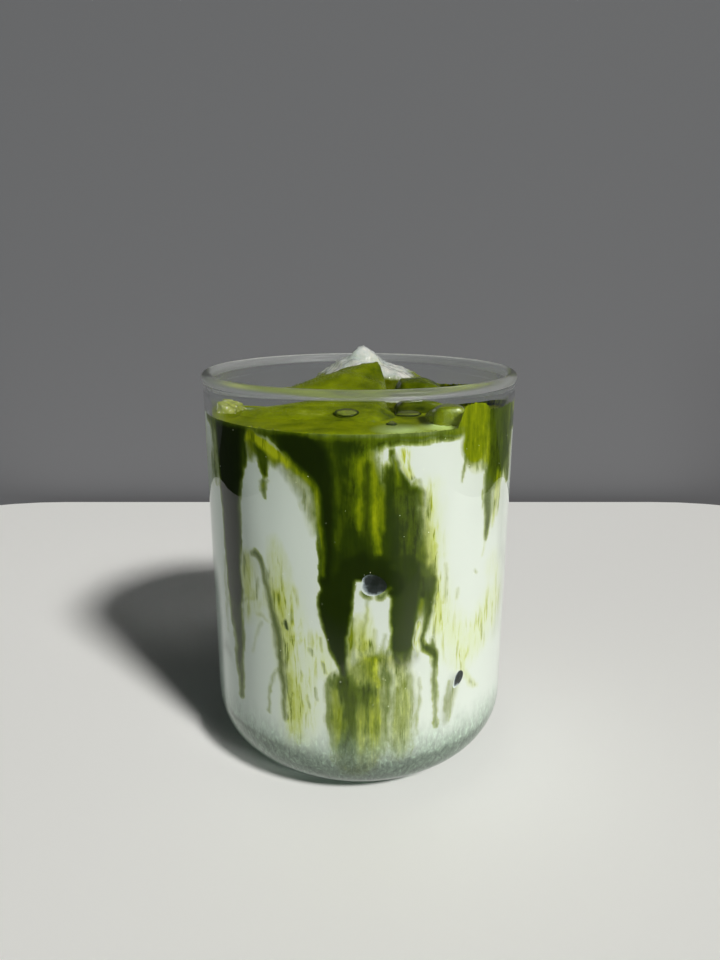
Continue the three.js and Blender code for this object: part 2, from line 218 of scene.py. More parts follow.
    (0.03, 0.85, 0.7, [(8.2, 90, 0.4), (9, 88, 0.8), (9.4, 86.2, 0.5)]),
    (0.10, 0.70, 0.8, [(14.5, 88, 1.2), (15.2, 85.5, 1), (16.5, 83, 0.9)]),
    (0.84, 0.95, 0.6, [(10.4, 88.5, 0.4), (11.2, 86, 0.7), (12.3, 83.5, 0.9), (13.6, 81, 1.2)]),
    (0.44, 0.70, 0.6, [(11.3, 87, 0.5), (11.8, 84, 0.6), (12.4, 81, 0.4)]),
    (0.84, 0.95, 0.7, [(16.5, 79.6, 0.8), (19, 79, 1), (20, 76.5, 0.9)]),
    (0.34, 0.45, 1.4, [(20.5, 79, 0.6), (21.8, 74, 1.2), (22.6, 68, 1.5), (23.8, 62, 1.5), (25.5, 57, 1)]),
    (0.50, 0.55, 0.5, [(19.5, 82, 0.2), (20.4, 78, 0.4), (20.8, 74, 0.3)]),
    (0.55, 0.60, 0.5, [(21.6, 70, 0.25), (22.2, 66, 0.5), (22.4, 62, 0.3)]),
    (0.48, 0.50, 0.5, [(22.8, 77, 0.2), (23.2, 71, 0.4), (23.3, 66, 0.25)]),
    (0.45, 0.45, 0.5, [(24.5, 70, 0.2), (24.8, 65, 0.4), (25, 60, 0.25)]),
    (0.70, 0.80, 0.7, [(20.3, 74, 0.7), (20.8, 71, 0.6)]),
    (0.70, 0.80, 0.7, [(21.3, 67.5, 0.8), (21.6, 64, 0.9)]),
    (0.70, 0.80, 0.7, [(23.5, 60, 1.2), (25.2, 58, 1.2), (25.4, 55.5, 1)]),
    # The window under the arch and the legs beside it
    (0.86, 1.0, 0.7, [(15.4, 61, 3.6), (15.3, 54, 3.2), (15.1, 48, 2.9), (14.8, 43.5, 2.7),
        (14.5, 40.5, 2.4)]),
    (0.55, 0.60, 1.4, [(11.5, 39.5, 0.9), (15, 38.8, 1.3), (18, 39.6, 0.9)]),
    (0.95, 1.0, 0.6, [(-4.3, 58.6, 3.2), (2.6, 60.1, 3), (10.6, 58.1, 3.2)]),
    (0.03, 1.0, 0.6, [(-0.2, 58.4, 1.0), (2.4, 56.4, 3.0), (3.5, 53.6, 4.3), (3.7, 50, 4.6),
        (3.7, 45.3, 4.7)]),
    (0.26, 0.50, 1.2, [(-0.5, 50, 0.6), (0.5, 46, 1.2), (2, 43, 1.6)]),
    (0.20, 0.45, 1.0, [(3, 52, 0.5), (3, 48, 0.9), (2.6, 44, 0.9)]),
    (0.46, 0.75, 1.8, [(-2.2, 45.5, 0.9), (-0.8, 43, 1.8), (2, 41, 2.4), (6, 39.4, 2.2), (10, 38.6, 1.4)]),
    (0.42, 0.60, 0.7, [(0.6, 48.5, 0.2), (1, 45.5, 0.5), (1.2, 42.5, 0.7)]),
    (0.42, 0.60, 0.7, [(4.8, 47, 0.2), (5, 44.5, 0.4), (5.2, 41.5, 0.7)]),
    (0.46, 0.60, 0.6, [(8.4, 45.5, 0.2), (8.2, 43, 0.4), (8, 40.5, 0.6)]),
    (0.66, 0.85, 0.45, [(1.2, 56.6, 0.6), (2.6, 55.4, 0.7), (3.6, 54.6, 0.4)]),
    (0.66, 0.85, 0.45, [(5.8, 55.8, 0.4), (6.6, 54.4, 0.6), (8.6, 56.2, 0.5), (10, 57, 0.4)]),
    (0.50, 0.60, 0.35, [(2.9, 54.4, 0.3), (2.8, 52, 0.3), (2, 49, 0.3), (1.2, 45.5, 0.25)]),
    (0.95, 1.0, 0.6, [(-8, 55.1, 3.6), (-7.9, 50, 3.5), (-7.5, 45.5, 2.7), (-6.9, 41.5, 1.8),
        (-6.1, 38.5, 0.9), (-5.4, 36, 0.4)]),
    (0.42, 0.80, 0.7, [(-2.6, 49.5, 0.5), (-2.2, 47, 0.8), (-2.8, 44, 0.9), (-3.6, 41, 0.7),
        (-4, 38, 0.5)]),
    (0.80, 0.95, 0.7, [(24.8, 57, 1.4), (24.6, 53, 1.2), (23.8, 49, 0.9), (22.7, 45.5, 0.7), (22, 43, 0.6),
        (23, 41.2, 0.8), (25, 40.2, 1.3), (26.4, 39, 1.1), (26.9, 36.5, 0.9)]),
    (0.70, 0.85, 0.5, [(26.3, 43, 0.4), (26.2, 41.4, 0.8)]),
    (0.66, 0.75, 0.6, [(26.9, 36.5, 0.8), (27.4, 32.5, 0.65), (27.8, 28, 0.55), (28.2, 24, 0.5),
        (28.7, 19, 0.35)]),
    (0.08, 0.80, 0.5, [(20.6, 48, 0.3), (20.4, 45.5, 0.6), (20.2, 42.5, 0.6), (20.4, 40.5, 0.3)]),
    (0.42, 0.70, 0.5, [(21.5, 53, 0.5), (21, 49.5, 0.5)]),
    (0.03, 0.80, 1.0, [(22, 38, 1), (23.2, 36, 1.6), (22.6, 34, 1)]),
    # The sheet on the right
    (0.32, 0.50, 0.9, [(39, 84.2, 0.8), (43, 82.8, 1), (47, 82.6, 0.8)]),
    (0.60, 1.0, 1.0, [(30, 95.6, 3.6), (50, 95.6, 3.6), (68, 95.6, 3.6)]),
    (0.72, 0.90, 1.5, [(66, 98, 3.5), (66.5, 90, 3.5), (67, 83, 3), (68.5, 78, 1.5)]),
    (0.78, 1.0, 1.0, [(57, 98.3, 6), (57, 90, 6), (57, 84, 5.6), (56.5, 81, 4.6)]),
    (0.53, 1.0, 0.7, [(42.6, 98.5, 4.2), (42.5, 91, 4.2), (42.6, 87.5, 4), (42.6, 86, 2.8)]),
    (0.55, 0.95, 1.0, [(46, 89, 3.5), (47.5, 86, 2.6), (49, 83.4, 1.4)]),
    (0.60, 0.90, 0.35, [(38, 85.3, 0.5), (37.6, 83.8, 0.4), (36.6, 82.2, 0.35), (36, 80.4, 0.25)]),
    (0.72, 0.90, 0.7, [(50.8, 80, 1.8), (50.9, 75, 1.8), (51.3, 70, 1.4), (51.5, 66.5, 0.9),
        (50.9, 64, 0.4)]),
    (0.28, 0.70, 0.7, [(57.2, 79.8, 0.8), (56.8, 74, 1), (56, 69, 0.8), (55.2, 66, 0.4)]),
    (0.30, 0.70, 0.6, [(60, 79, 0.5), (59.6, 73.5, 0.7), (59.2, 69, 0.3)]),
    (0.50, 0.60, 0.5, [(55, 79, 0.4), (54.8, 74, 0.4), (54.2, 69.5, 0.3)]),
    (0.50, 0.50, 0.5, [(58.6, 79, 0.3), (58.3, 74, 0.4), (58, 71, 0.2)]),
    (0.36, 0.60, 0.45, [(50, 63, 0.3), (49.2, 60, 0.3)]),
    # The bow beside the column, what hangs from it, its crest and the lighter rim of the band
    (0.42, 0.60, 1.2, [(-27, 86.5, 0.9), (-22.5, 83, 1.3), (-18.5, 79, 1.3), (-16.3, 74.5, 0.9),
        (-15, 70, 0.5)]),
    (0.86, 0.95, 0.6, [(-41.8, 90, 1), (-41.8, 87, 0.8), (-42.2, 83.5, 0.4)]),
    (0.56, 0.90, 0.6, [(-39, 89.8, 1.5), (-38.8, 87, 1.4), (-39, 85.2, 0.8)]),
    (0.50, 0.80, 0.8, [(-30.5, 88, 1.2), (-29.3, 86, 1), (-28.6, 84.6, 0.5)]),
    (0.56, 0.95, 0.7, [(-37.5, 89, 1.6), (-34.5, 87.7, 2.0), (-31, 86.8, 1.7), (-28.2, 85.8, 1)]),
    (0.80, 0.95, 0.6, [(-35, 89.3, 1), (-34, 87, 1.5), (-33.4, 84.8, 1.3), (-33.2, 83, 0.9)]),
    (0.66, 0.90, 0.45, [(-33.6, 81, 0.6), (-33.3, 79.3, 0.8), (-33.3, 76.9, 0.3)]),
    (0.50, 0.80, 0.4, [(-35, 80.6, 0.25), (-33.8, 79.8, 0.4), (-31.8, 81.2, 0.3)]),
    (0.55, 0.95, 0.8, [(-25, 86.4, 1), (-21.4, 84.3, 1.1), (-18, 82.3, 1.2), (-16, 80.8, 1.2),
        (-14.6, 78.5, 1.1), (-14.2, 75, 0.9), (-13.3, 71, 0.7), (-12.6, 66.5, 0.5), (-12.3, 60, 0.3)]),
    (0.35, 1.0, 0.5, [(-41, 89.4, 0.4), (-39, 90.5, 1), (-36, 90.4, 1.2), (-33, 89.4, 1.3),
        (-29.5, 87.9, 1.2), (-26.5, 86.3, 1), (-23.6, 84.8, 0.6)]),
    (0.60, 0.90, 0.6, [(-66, 92.3, 0.4), (-55, 92.4, 0.6), (-45.5, 92.6, 0.7), (-30.3, 92.4, 0.8),
        (-15.3, 92.2, 0.8), (-0.3, 92, 0.8), (14.6, 91.9, 0.8), (29.5, 91.9, 0.7), (36.5, 92.1, 0.5)]),
]

# Where a film of milk greys the matcha, and where painted shade greys the milk at its left and at its right
# edge:
# how much each stroke hides, how soft it is, and its stations.
MILK_FILM_AND_SHADE = [
    # Painted shade on the milk at the left
    (0.20, 3.0, [(-43, 76, 1.2), (-43, 69, 2), (-41, 62, 2.4), (-38, 59, 1.5)]),
    (0.30, 1.2, [(20.5, 78, 0.8), (21.3, 71, 1), (22, 64.5, 1.3), (24.5, 57, 1.5)]),
    (0.16, 2.0, [(15.5, 76, 2.5), (16, 68, 3), (17.5, 60, 3.5), (16.5, 52, 2.8), (15.5, 44, 2.4)]),
    (0.50, 1.4, [(11.6, 38.4, 1.4), (15.5, 38, 1.4), (18.5, 39, 1)]),
    (0.20, 1.0, [(26.8, 35.6, 0.8), (27.7, 28.2, 0.7), (28.4, 18.9, 0.4)]),
    (0.30, 1.0, [(51, 77, 1.6), (51.3, 70, 1.3), (51, 64.5, 0.5)]),
    (0.25, 2.5, [(63.5, 74, 1.2), (64.5, 66, 1.5), (65, 57, 1.2)]),
    # Painted shade at the right edge of the wall
    (0.22, 2.5, [(69, 57, 1.2), (69.5, 49, 1.5), (67, 42, 1.5), (62.5, 36.5, 1)]),
    (0.35, 1.4, [(-64.2, 31.6, 0.8), (-60.7, 32.6, 1.4), (-57.6, 31.4, 0.8)]),
    (0.30, 1.4, [(35.6, 30.8, 0.8), (34.3, 25.9, 1.3), (32.7, 20, 0.9)]),
    (0.30, 0.8, [(-27.3, 84.9, 0.8), (-22.3, 81.9, 1.2), (-18.3, 77.9, 1.2), (-16.3, 73.9, 0.6)]),
    (0.40, 1.0, [(-5.5, 37.9, 0.6), (-5.3, 35.9, 0.5)]),
    (0.40, 0.8, [(-38, 62.5, 0.7), (-35, 59, 0.6), (-32.5, 51.5, 0.7), (-30, 43.5, 1),
        (-28.2, 35.4, 0.8), (-27.6, 21.2, 0.4)]),
]


class TumblerSettings(bpy.types.PropertyGroup):
    """Sizes of the glass tumbler."""

    radius: FloatProperty(
        name="Radius", description="Outer radius of the wall", default=TUMBLER_RADIUS, unit="LENGTH"
    )
    height: FloatProperty(
        name="Height", description="Height of the rim", default=TUMBLER_HEIGHT, unit="LENGTH"
    )
    inside_radius: FloatProperty(
        name="Inside radius", description="Inner radius of the wall", default=INSIDE_RADIUS, unit="LENGTH"
    )
    base: FloatProperty(
        name="Base", description="Thickness of the base", default=BASE_THICKNESS, unit="LENGTH"
    )
    corner: FloatProperty(
        name="Corner", description="Outer radius between wall and base", default=14 * MM, unit="LENGTH"
    )
    lip: FloatProperty(
        name="Lip", description="Diameter of the rolled lip", default=2.5 * MM, unit="LENGTH"
    )
    tint: FloatVectorProperty(
        name="Tint", description="Colour of the glass", subtype="COLOR", size=3, default=srgb(250, 252, 251)
    )


class DrinkSettings(bpy.types.PropertyGroup):
    """Level and colours of the milk and the matcha."""

    level: FloatProperty(name="Level", description="Height of the drink", default=LEVEL, unit="LENGTH")
    into_wall: FloatProperty(
        name="Into the wall",
        description="How far the drink reaches into the glass, so that no air shows between them",
        default=0.05 * MM,
        unit="LENGTH",
    )
    milk: FloatVectorProperty(
        name="Milk", description="Colour of the milk", subtype="COLOR", size=3, default=srgb(203, 209, 202)
    )
    tint: FloatVectorProperty(
        name="Tint", description="Milk with a trace of matcha", subtype="COLOR", size=3,
        default=srgb(204, 213, 184),
    )
    pale: FloatVectorProperty(
        name="Pale", description="Milk with a little matcha", subtype="COLOR", size=3,
        default=srgb(186, 196, 96),
    )
    bright: FloatVectorProperty(
        name="Bright", description="Matcha with light through it", subtype="COLOR", size=3,
        default=srgb(168, 177, 22),
    )
    olive: FloatVectorProperty(
        name="Olive", description="Matcha mixed with milk", subtype="COLOR", size=3,
        default=srgb(122, 135, 6),
    )
    thin: FloatVectorProperty(
        name="Thin", description="Thin matcha", subtype="COLOR", size=3, default=srgb(78, 95, 3)
    )
    thick: FloatVectorProperty(
        name="Thick", description="Thick matcha", subtype="COLOR", size=3, default=srgb(40, 55, 2)
    )
    matcha: FloatVectorProperty(
        name="Matcha", description="The thickest matcha", subtype="COLOR", size=3, default=srgb(14, 24, 1)
    )
    clouded: FloatVectorProperty(
        name="Clouded", description="Pale places on top of the drink", subtype="COLOR", size=3,
        default=srgb(150, 168, 104),
    )
    # Grey of a film of milk over the matcha, also used as painted shade on the milk
    grey: FloatVectorProperty(
        name="Grey", description="Matcha behind a film of milk", subtype="COLOR", size=3,
        default=srgb(88, 94, 72),
    )
    # Colour of the painted shade and reflection of the thick base, on the milk round its bottom
    frost: FloatVectorProperty(
        name="Frost", description="Frosted milk round the base", subtype="COLOR", size=3,
        default=srgb(176, 196, 178),
    )


class IceSettings(bpy.types.PropertyGroup):
    """Grain and colours of the ice."""

    grain: FloatProperty(
        name="Grain", description="Size of the facets that the mesh is cut into",
        default=0.7 * MM, unit="LENGTH",
    )
    melt: FloatProperty(
        name="Melt", description="Depth of the hollows that melting leaves", default=0.4 * MM, unit="LENGTH"
    )
    bare: FloatVectorProperty(
        name="Bare", description="Colour of bare ice", subtype="COLOR", size=3, default=srgb(254, 253, 240)
    )
    bare_dark: FloatVectorProperty(
        name="Clear ice", description="Where bare ice is clear", subtype="COLOR", size=3,
        default=srgb(214, 226, 218),
    )
    bare_green: FloatVectorProperty(
        name="Green ice", description="Where bare ice has caught some matcha", subtype="COLOR", size=3,
        default=srgb(232, 238, 172),
    )
    coat_pale: FloatVectorProperty(
        name="Wet ice", description="Ice that is only wet with matcha", subtype="COLOR", size=3,
        default=srgb(196, 204, 96),
    )
    coat_grey: FloatVectorProperty(
        name="Clouded ice", description="Ice that is clouded with matcha", subtype="COLOR", size=3,
        default=srgb(140, 155, 84),
    )
    coat_light: FloatVectorProperty(
        name="Thin coat", description="Matcha coat where it is thin", subtype="COLOR", size=3,
        default=srgb(126, 140, 8),
    )
    coat_dark: FloatVectorProperty(
        name="Thick coat", description="Matcha coat where it is thick", subtype="COLOR", size=3,
        default=srgb(46, 62, 4),
    )


class StageSettings(bpy.types.PropertyGroup):
    """Floor, light and camera."""

    floor: FloatVectorProperty(
        name="Floor", description="Colour of the floor", subtype="COLOR", size=3,
        default=srgb(249, 249, 247),
    )
    backdrop: FloatVectorProperty(
        name="Backdrop", description="Colour behind the floor", subtype="COLOR", size=3,
        default=srgb(112, 112, 115),
    )
    key_power: FloatProperty(name="Key power", description="Strength of the main light", default=3.2)
    key_size: FloatProperty(
        name="Key size", description="Angle that the main light spans",
        default=math.radians(9), unit="ROTATION",
    )
    side_power: FloatProperty(
        name="Side power", description="Strength of the soft light from the left", default=0.78
    )
    fill: FloatProperty(name="Fill", description="Strength of the light from all round", default=0.008)


# Meshes


def add_object(name, mesh):
    made = bpy.data.objects.new(name, mesh)
    bpy.context.scene.collection.objects.link(made)
    return made


def evaluated_mesh(made):
    """The mesh that an object's modifiers give, as a mesh of its own."""
    graph = bpy.context.evaluated_depsgraph_get()
    return bpy.data.meshes.new_from_object(made.evaluated_get(graph), depsgraph=graph)


def apply_modifiers(made):
    mesh = evaluated_mesh(made)
    made.modifiers.clear()
    made.data = mesh
    return made


def smooth_shaded(mesh):
    """Shades a mesh smoothly but for its real edges."""
    mesh.shade_smooth()
    mesh.set_sharp_from_angle(angle=math.radians(45))
    return mesh


def positions(mesh):
    places = np.empty(len(mesh.vertices) * 3, np.float32)
    mesh.vertices.foreach_get("co", places)
    return places.reshape(-1, 3).astype(float)


def set_positions(mesh, places):
    mesh.vertices.foreach_set("co", places.astype(np.float32).ravel())
    mesh.update()


def dress(made, slot, *nodes):
    """Lets a finished piece ride on the body in place of its nodes; its slot is not used."""
    if not made.data.polygons:
        raise RuntimeError(f"{made.name} came out without faces")
    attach(made, BODY)
    if nodes:
        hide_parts(*nodes)
    return made


def arc(centre, radius, start, end, steps):
    """Points of an arc in a profile, as [distance from the axis, height]."""
    turns = np.radians(np.linspace(start, end, steps + 1))
    return [(centre[0] + radius * math.cos(t), centre[1] + radius * math.sin(t)) for t in turns]


def line(start, end, step):
    """Points of a straight stretch of a profile, without its ends."""
    start, end = np.array(start), np.array(end)
    steps = max(1, round(float(np.linalg.norm(end - start)) / step))
    return [tuple(start + (end - start) * i / steps) for i in range(1, steps)]


def node_input(tree, name, kind, default=None):
    socket = tree.interface.new_socket(name, in_out="INPUT", socket_type=kind)
    if default is not None:
        socket.default_value = default
    return socket


def new_tree(name, inputs):
    """A Geometry Nodes tree with named inputs, a material and one shape as its result."""
    tree = bpy.data.node_groups.new(name, "GeometryNodeTree")
    for socket in (*inputs, ("Material", "NodeSocketMaterial")):
        node_input(tree, *socket)
    tree.interface.new_socket("Shape", in_out="OUTPUT", socket_type="NodeSocketGeometry")
    return tree, tree.nodes.new("NodeGroupInput")


def finish_tree(tree, given, shape):
    """Ends a tree with its shape as a real mesh in the given material."""
    real = tree.nodes.new("GeometryNodeRealizeInstances")
    finish = tree.nodes.new("GeometryNodeSetMaterial")
    result = tree.nodes.new("NodeGroupOutput")
    tree.links.new(shape, real.inputs["Geometry"])
    tree.links.new(real.outputs["Geometry"], finish.inputs["Geometry"])
    tree.links.new(given.outputs["Material"], finish.inputs["Material"])
    tree.links.new(finish.outputs["Geometry"], result.inputs["Shape"])
    return tree


# The turning circle, which is all but a point, and how near points on the axis are made one
AXIS_RADIUS, AXIS_MERGE = 0.001 * MM, 0.01 * MM


def lathe_tree():
    """Geometry Nodes that turn a profile about the axis into a closed shape."""
    tree = bpy.data.node_groups.get("Lathe")
    if tree:
        return tree
    tree, given = new_tree("Lathe", (("Profile", "NodeSocketGeometry"), ("Steps", "NodeSocketInt", 128)))
    new, join = tree.nodes.new, tree.links.new
    profile = new("GeometryNodeMeshToCurve")
    axis = new("GeometryNodeCurvePrimitiveCircle")
    axis.inputs["Radius"].default_value = AXIS_RADIUS
    upright = new("GeometryNodeSetCurveNormal")
    upright.mode = "Z_UP"
    turned = new("GeometryNodeCurveToMesh")
    merged = new("GeometryNodeMergeByDistance")
    merged.inputs["Distance"].default_value = AXIS_MERGE
    join(given.outputs["Profile"], profile.inputs["Mesh"])
    join(given.outputs["Steps"], axis.inputs["Resolution"])
    join(axis.outputs["Curve"], upright.inputs["Curve"])
    join(upright.outputs["Curve"], turned.inputs["Curve"])
    join(profile.outputs["Curve"], turned.inputs["Profile Curve"])
    join(turned.outputs["Mesh"], merged.inputs["Geometry"])
    return finish_tree(tree, given, merged.outputs["Geometry"])


def set_inputs(modifier, **values):
    """Sets a Geometry Nodes modifier's inputs by the names of their sockets."""
    for socket in modifier.node_group.interface.items_tree:
        if socket.item_type == "SOCKET" and socket.in_out == "INPUT" and socket.name in values:
            modifier[socket.identifier] = values[socket.name]


def turned_piece(name, profile, steps, material):
    """A closed shape turned about the axis from a profile that starts and ends on it."""
    mesh = bpy.data.meshes.new(name)
    points = [(r, -z, 0.0) for r, z in reversed(profile)]
    mesh.from_pydata(points, [(i, i + 1) for i in range(len(points) - 1)], [])
    made = add_object(name, mesh)
    modifier = made.modifiers.new("Lathe", "NODES")
    modifier.node_group = lathe_tree()
    set_inputs(modifier, Steps=steps, Material=material)
    apply_modifiers(made)
    smooth_shaded(made.data)
    return made


def tube_mesh(name, rings, turned=False):
    """A closed mesh from rings of points, with a lid at each end; turned if its rings run the other way."""
    count = len(rings[0])
    last = (len(rings) - 1) * count
    faces = []
    for low in range(0, last, count):
        for k in range(count):
            here, after = low + k, low + (k + 1) % count
            sides = (after, count + after, count + here)
            faces.append((here, *(reversed(sides) if turned else sides)))
    start, end = range(count), range(last, last + count)
    faces += [tuple(start), tuple(reversed(end))] if turned else [tuple(reversed(start)), tuple(end)]
    mesh = bpy.data.meshes.new(name)
    mesh.from_pydata([point for ring in rings for point in ring], [], faces)
    return mesh


def add_weld(made, reach):
    made.modifiers.new("Weld", "WELD").merge_threshold = reach


# The pattern on the wall


def on_wall(places):
    """Degrees from the front and millimetres of height of points on the wall."""
    angle = np.degrees(np.arctan2(places[:, 0], -places[:, 1]))
    return np.stack([angle, places[:, 2] / MM], axis=1)


def smooth_course(stations, parts=5):
    """A Catmull-Rom curve through stations, as many points."""
    given = np.array(stations, float)
    ends = [2 * given[0] - given[1], *given, 2 * given[-1] - given[-2]]
    course = []
    for p0, p1, p2, p3 in zip(ends, ends[1:], ends[2:], ends[3:]):
        for t in np.arange(parts) / parts:
            course.append(
                0.5 * (2 * p1 + (p2 - p0) * t + (2 * p0 - 5 * p1 + 4 * p2 - p3) * t**2
                       + (3 * p1 - p0 - 3 * p2 + p3) * t**3)
            )
    course.append(given[-1])
    return np.array(course)


# Millimetres on the wall in one degree
DEGREE = math.radians(1) * INSIDE_RADIUS / MM


def stroke_on(wall, softness, stations):
    """How much of a stroke is at each point of the wall: 0.5 on its edge, 1 well inside it."""
    course = smooth_course(stations)
    middle = (course[:, 0].min() + course[:, 0].max()) / 2
    turned = (wall[:, 0] - middle + 180) % 360 - 180
    points = np.stack([turned * DEGREE, wall[:, 1]], axis=1)
    course[:, 0] = (course[:, 0] - middle) * DEGREE
    reach = course[:, 2].max() + 2 * softness
    near = np.all(points > course[:, :2].min(axis=0) - reach, axis=1)
    near &= np.all(points < course[:, :2].max(axis=0) + reach, axis=1)
    found = np.full(near.sum(), -1e3)
    for a, b in zip(course, course[1:]):
        way = b[:2] - a[:2]
        t = np.clip((points[near] - a[:2]) @ way / max(way @ way, 1e-9), 0, 1)
        aside = np.linalg.norm(points[near] - a[:2] - t[:, None] * way, axis=1)
        found = np.maximum(found, a[2] + (b[2] - a[2]) * t - aside)
    share = np.zeros(len(wall))
    share[near] = np.clip(0.5 + found / (2 * softness), 0, 1)
    return share


def back_strokes():
    """The side that the front view hides: its band and its runs, each with a mixed fringe."""
    tints, fringes, runs = [], [], []
    for name in BACK_RUNS:
        stations = [(a, z, half * DEGREE) for a, z, half in RUNS[name][1]]
        angle, height, _ = stations[-1]
        fringe = [*[(a, z, 1.3 * half) for a, z, half in stations[1:]], (angle + 2, height - 14, 0.8)]
        tints.append((0.12, 0.8, 4.0, [(a, z, 1.5 * half + 2) for a, z, half in fringe]))
        fringes.append((0.34, 0.7, 2.0, fringe))
        runs.append((0.92, 1.0, 1.2, stations))
    runs.append((0.85, 1.0, 0.9, [(angle, 91, 2.4) for angle in range(66, 291, 15)]))
    runs.append((0.55, 1.0, 1.5, [(angle, 95, 2.6) for angle in range(66, 171, 15)]))
    return [*tints, *fringes, *runs]


# The faintest stroke that is matcha and not milk, and the softness of strokes that lie firmly and loosely
FAINTEST = 0.06
FIRM, LOOSE = 0.4, 1.8


def painted(wall, strokes):
    """Lays strokes in order: how strong the matcha is, how far it covers, and how loosely it was laid."""
    depth, cover, loose = np.zeros(len(wall)), np.zeros(len(wall)), np.ones(len(wall))
    for value, hides, softness, stations in strokes:
        share = hides * stroke_on(wall, softness, stations)
        covers = 1.0 if value >= FAINTEST else 0.0
        cover += (covers - cover) * share
        depth += (value * covers - depth) * share
        free = min(1.0, max(0.0, (softness - FIRM) / (LOOSE - FIRM)))
        loose += (free - loose) * np.minimum(1.0, 2 * share)
    return depth / np.maximum(cover, 0.01), cover, loose


# How liquid wanders on the wall: turns per metre, then how far sideways and upward, in millimetres
WANDERS = ((170, 0.6, 0.6), (520, 0.35, 0.4), (1300, 0.12, 0.16))
WANDER_SEED = 11

# How far the pattern is drawn along the wall for each measure inward from it
INWARD = 0.6


def wandering(places):
    """Places on the wall, moved a little as liquid wanders: broadly, and in small ripples."""
    wall = on_wall(places)
    noise.seed_set(WANDER_SEED)
    for scale, sideways, upward in WANDERS:
        drift = np.array([noise.noise_vector(Vector(place) * scale)[:2] for place in places])
        wall[:, 0] += sideways * drift[:, 0] / DEGREE
        wall[:, 1] += upward * drift[:, 1]
    return wall


def set_attribute(mesh, name, kind, values):
    layer = mesh.attributes.new(name, kind, "POINT")
    layer.data.foreach_set("value" if kind == "FLOAT" else "vector", values.astype(np.float32).ravel())


def paint(mesh):
    """Writes on a mesh how strong the matcha is, where film and painted shade grey it, and its place on the
    unrolled wall.
    """
    places = positions(mesh)
    wall = wandering(places)
    strokes = painted(wall, [*back_strokes(), *STRENGTH])
    for name, values in zip(("strength", "cover", "loose"), strokes):
        set_attribute(mesh, name, "FLOAT", values)
    set_attribute(mesh, "film", "FLOAT", painted(wall, [(1.0, *film) for film in MILK_FILM_AND_SHADE])[1])
    reach = np.maximum(np.hypot(places[:, 0], places[:, 1]), 1e-6)
    along = places[:, 2] - INWARD * (INSIDE_RADIUS - reach)
    around = places[:, :2] / reach[:, None] * INSIDE_RADIUS
    set_attribute(mesh, "unrolled", "FLOAT_VECTOR", np.column_stack([around, along]))


# Materials


def new_material(name):
    material = bpy.data.materials.new(name)
    material.use_nodes = True
    tree = material.node_tree
    return material, tree, tree.nodes["Principled BSDF"]


def set_sockets(node, **values):
    for name, value in values.items():
        node.inputs[name.replace("_", " ")].default_value = value


def colour(values):
    return (*values, 1.0)


def scaled(shade, share):
    """A colour made darker or lighter."""
    return tuple(share * part for part in shade)


def put(tree, value, socket):
    """Sets a socket to a number or a colour, or links another socket to it."""
    if isinstance(value, (int, float)):
        socket.default_value = value
    elif isinstance(value, tuple):
        socket.default_value = colour(value)
    else:
        tree.links.new(value, socket)


def maths(tree, operation, first, second=0.0, clamp=False):
    node = tree.nodes.new("ShaderNodeMath")
    node.operation = operation
    node.use_clamp = clamp
    put(tree, first, node.inputs[0])
    put(tree, second, node.inputs[1])
    return node.outputs[0]


def product(tree, first, *others):
    for other in others:
        first = maths(tree, "MULTIPLY", first, other)
    return first


def ranged(tree, value, low, high, to_low=0.0, to_high=1.0, smooth=False):
    """A value moved from one range to another, and kept within it."""
    node = tree.nodes.new("ShaderNodeMapRange")
    if smooth:
        node.interpolation_type = "SMOOTHSTEP"
    set_sockets(node, From_Min=low, From_Max=high, To_Min=to_low, To_Max=to_high)
    tree.links.new(value, node.inputs["Value"])
    return node.outputs["Result"]


def blended(tree, share, first, second):
    """A colour between two, each a tuple or a socket."""
    node = tree.nodes.new("ShaderNodeMix")
    node.data_type = "RGBA"
    for name, value in (("Factor", share), ("A", first), ("B", second)):
        put(tree, value, node.inputs[name])
    return node.outputs["Result"]


def ramp(tree, share, stops):
    """A colour from a row of stops, each a share and a colour."""
    node = tree.nodes.new("ShaderNodeValToRGB")
    row = node.color_ramp.elements
    while len(row) < len(stops):
        row.new(1.0)
    for element, (place, shade) in zip(row, stops):
        element.position = place
        element.color = colour(shade)
    tree.links.new(share, node.inputs["Fac"])
    return node.outputs["Color"]


def attribute(tree, name, output="Fac"):
    node = tree.nodes.new("ShaderNodeAttribute")
    node.attribute_name = name
    return node.outputs[output]


def object_place(tree):
    return tree.nodes.new("ShaderNodeTexCoord").outputs["Object"]


def axis_of(tree, place, name):
    """One of a place's coordinates, in metres."""
    parts = tree.nodes.new("ShaderNodeSeparateXYZ")
    tree.links.new(place, parts.inputs["Vector"])
    return parts.outputs[name]


def noise_on(tree, place, scale, detail, roughness, seed, swirl=0.0):
    """Noise; scale is how many of its features fit in a metre each way."""
    mapping = tree.nodes.new("ShaderNodeMapping")
    set_sockets(mapping, Scale=scale, Location=(seed, 0.3 * seed, 0.7 * seed))
    made = tree.nodes.new("ShaderNodeTexNoise")
    set_sockets(made, Scale=1.0, Detail=detail, Roughness=roughness, Distortion=swirl)
    tree.links.new(place, mapping.inputs["Vector"])
    tree.links.new(mapping.outputs["Vector"], made.inputs["Vector"])
    return made.outputs["Fac"]


def noise_at(tree, scale, detail, roughness, seed):
    """Noise in the body of a piece."""
    return noise_on(tree, object_place(tree), scale, detail, roughness, seed)


def wall_noise(tree, scale, detail, roughness, low, high, seed, swirl=0.0):
    """Noise on the unrolled wall, stretched so that it runs from 0 to 1."""
    place = attribute(tree, "unrolled", "Vector")
    return ranged(tree, noise_on(tree, place, scale, detail, roughness, seed, swirl), low, high)


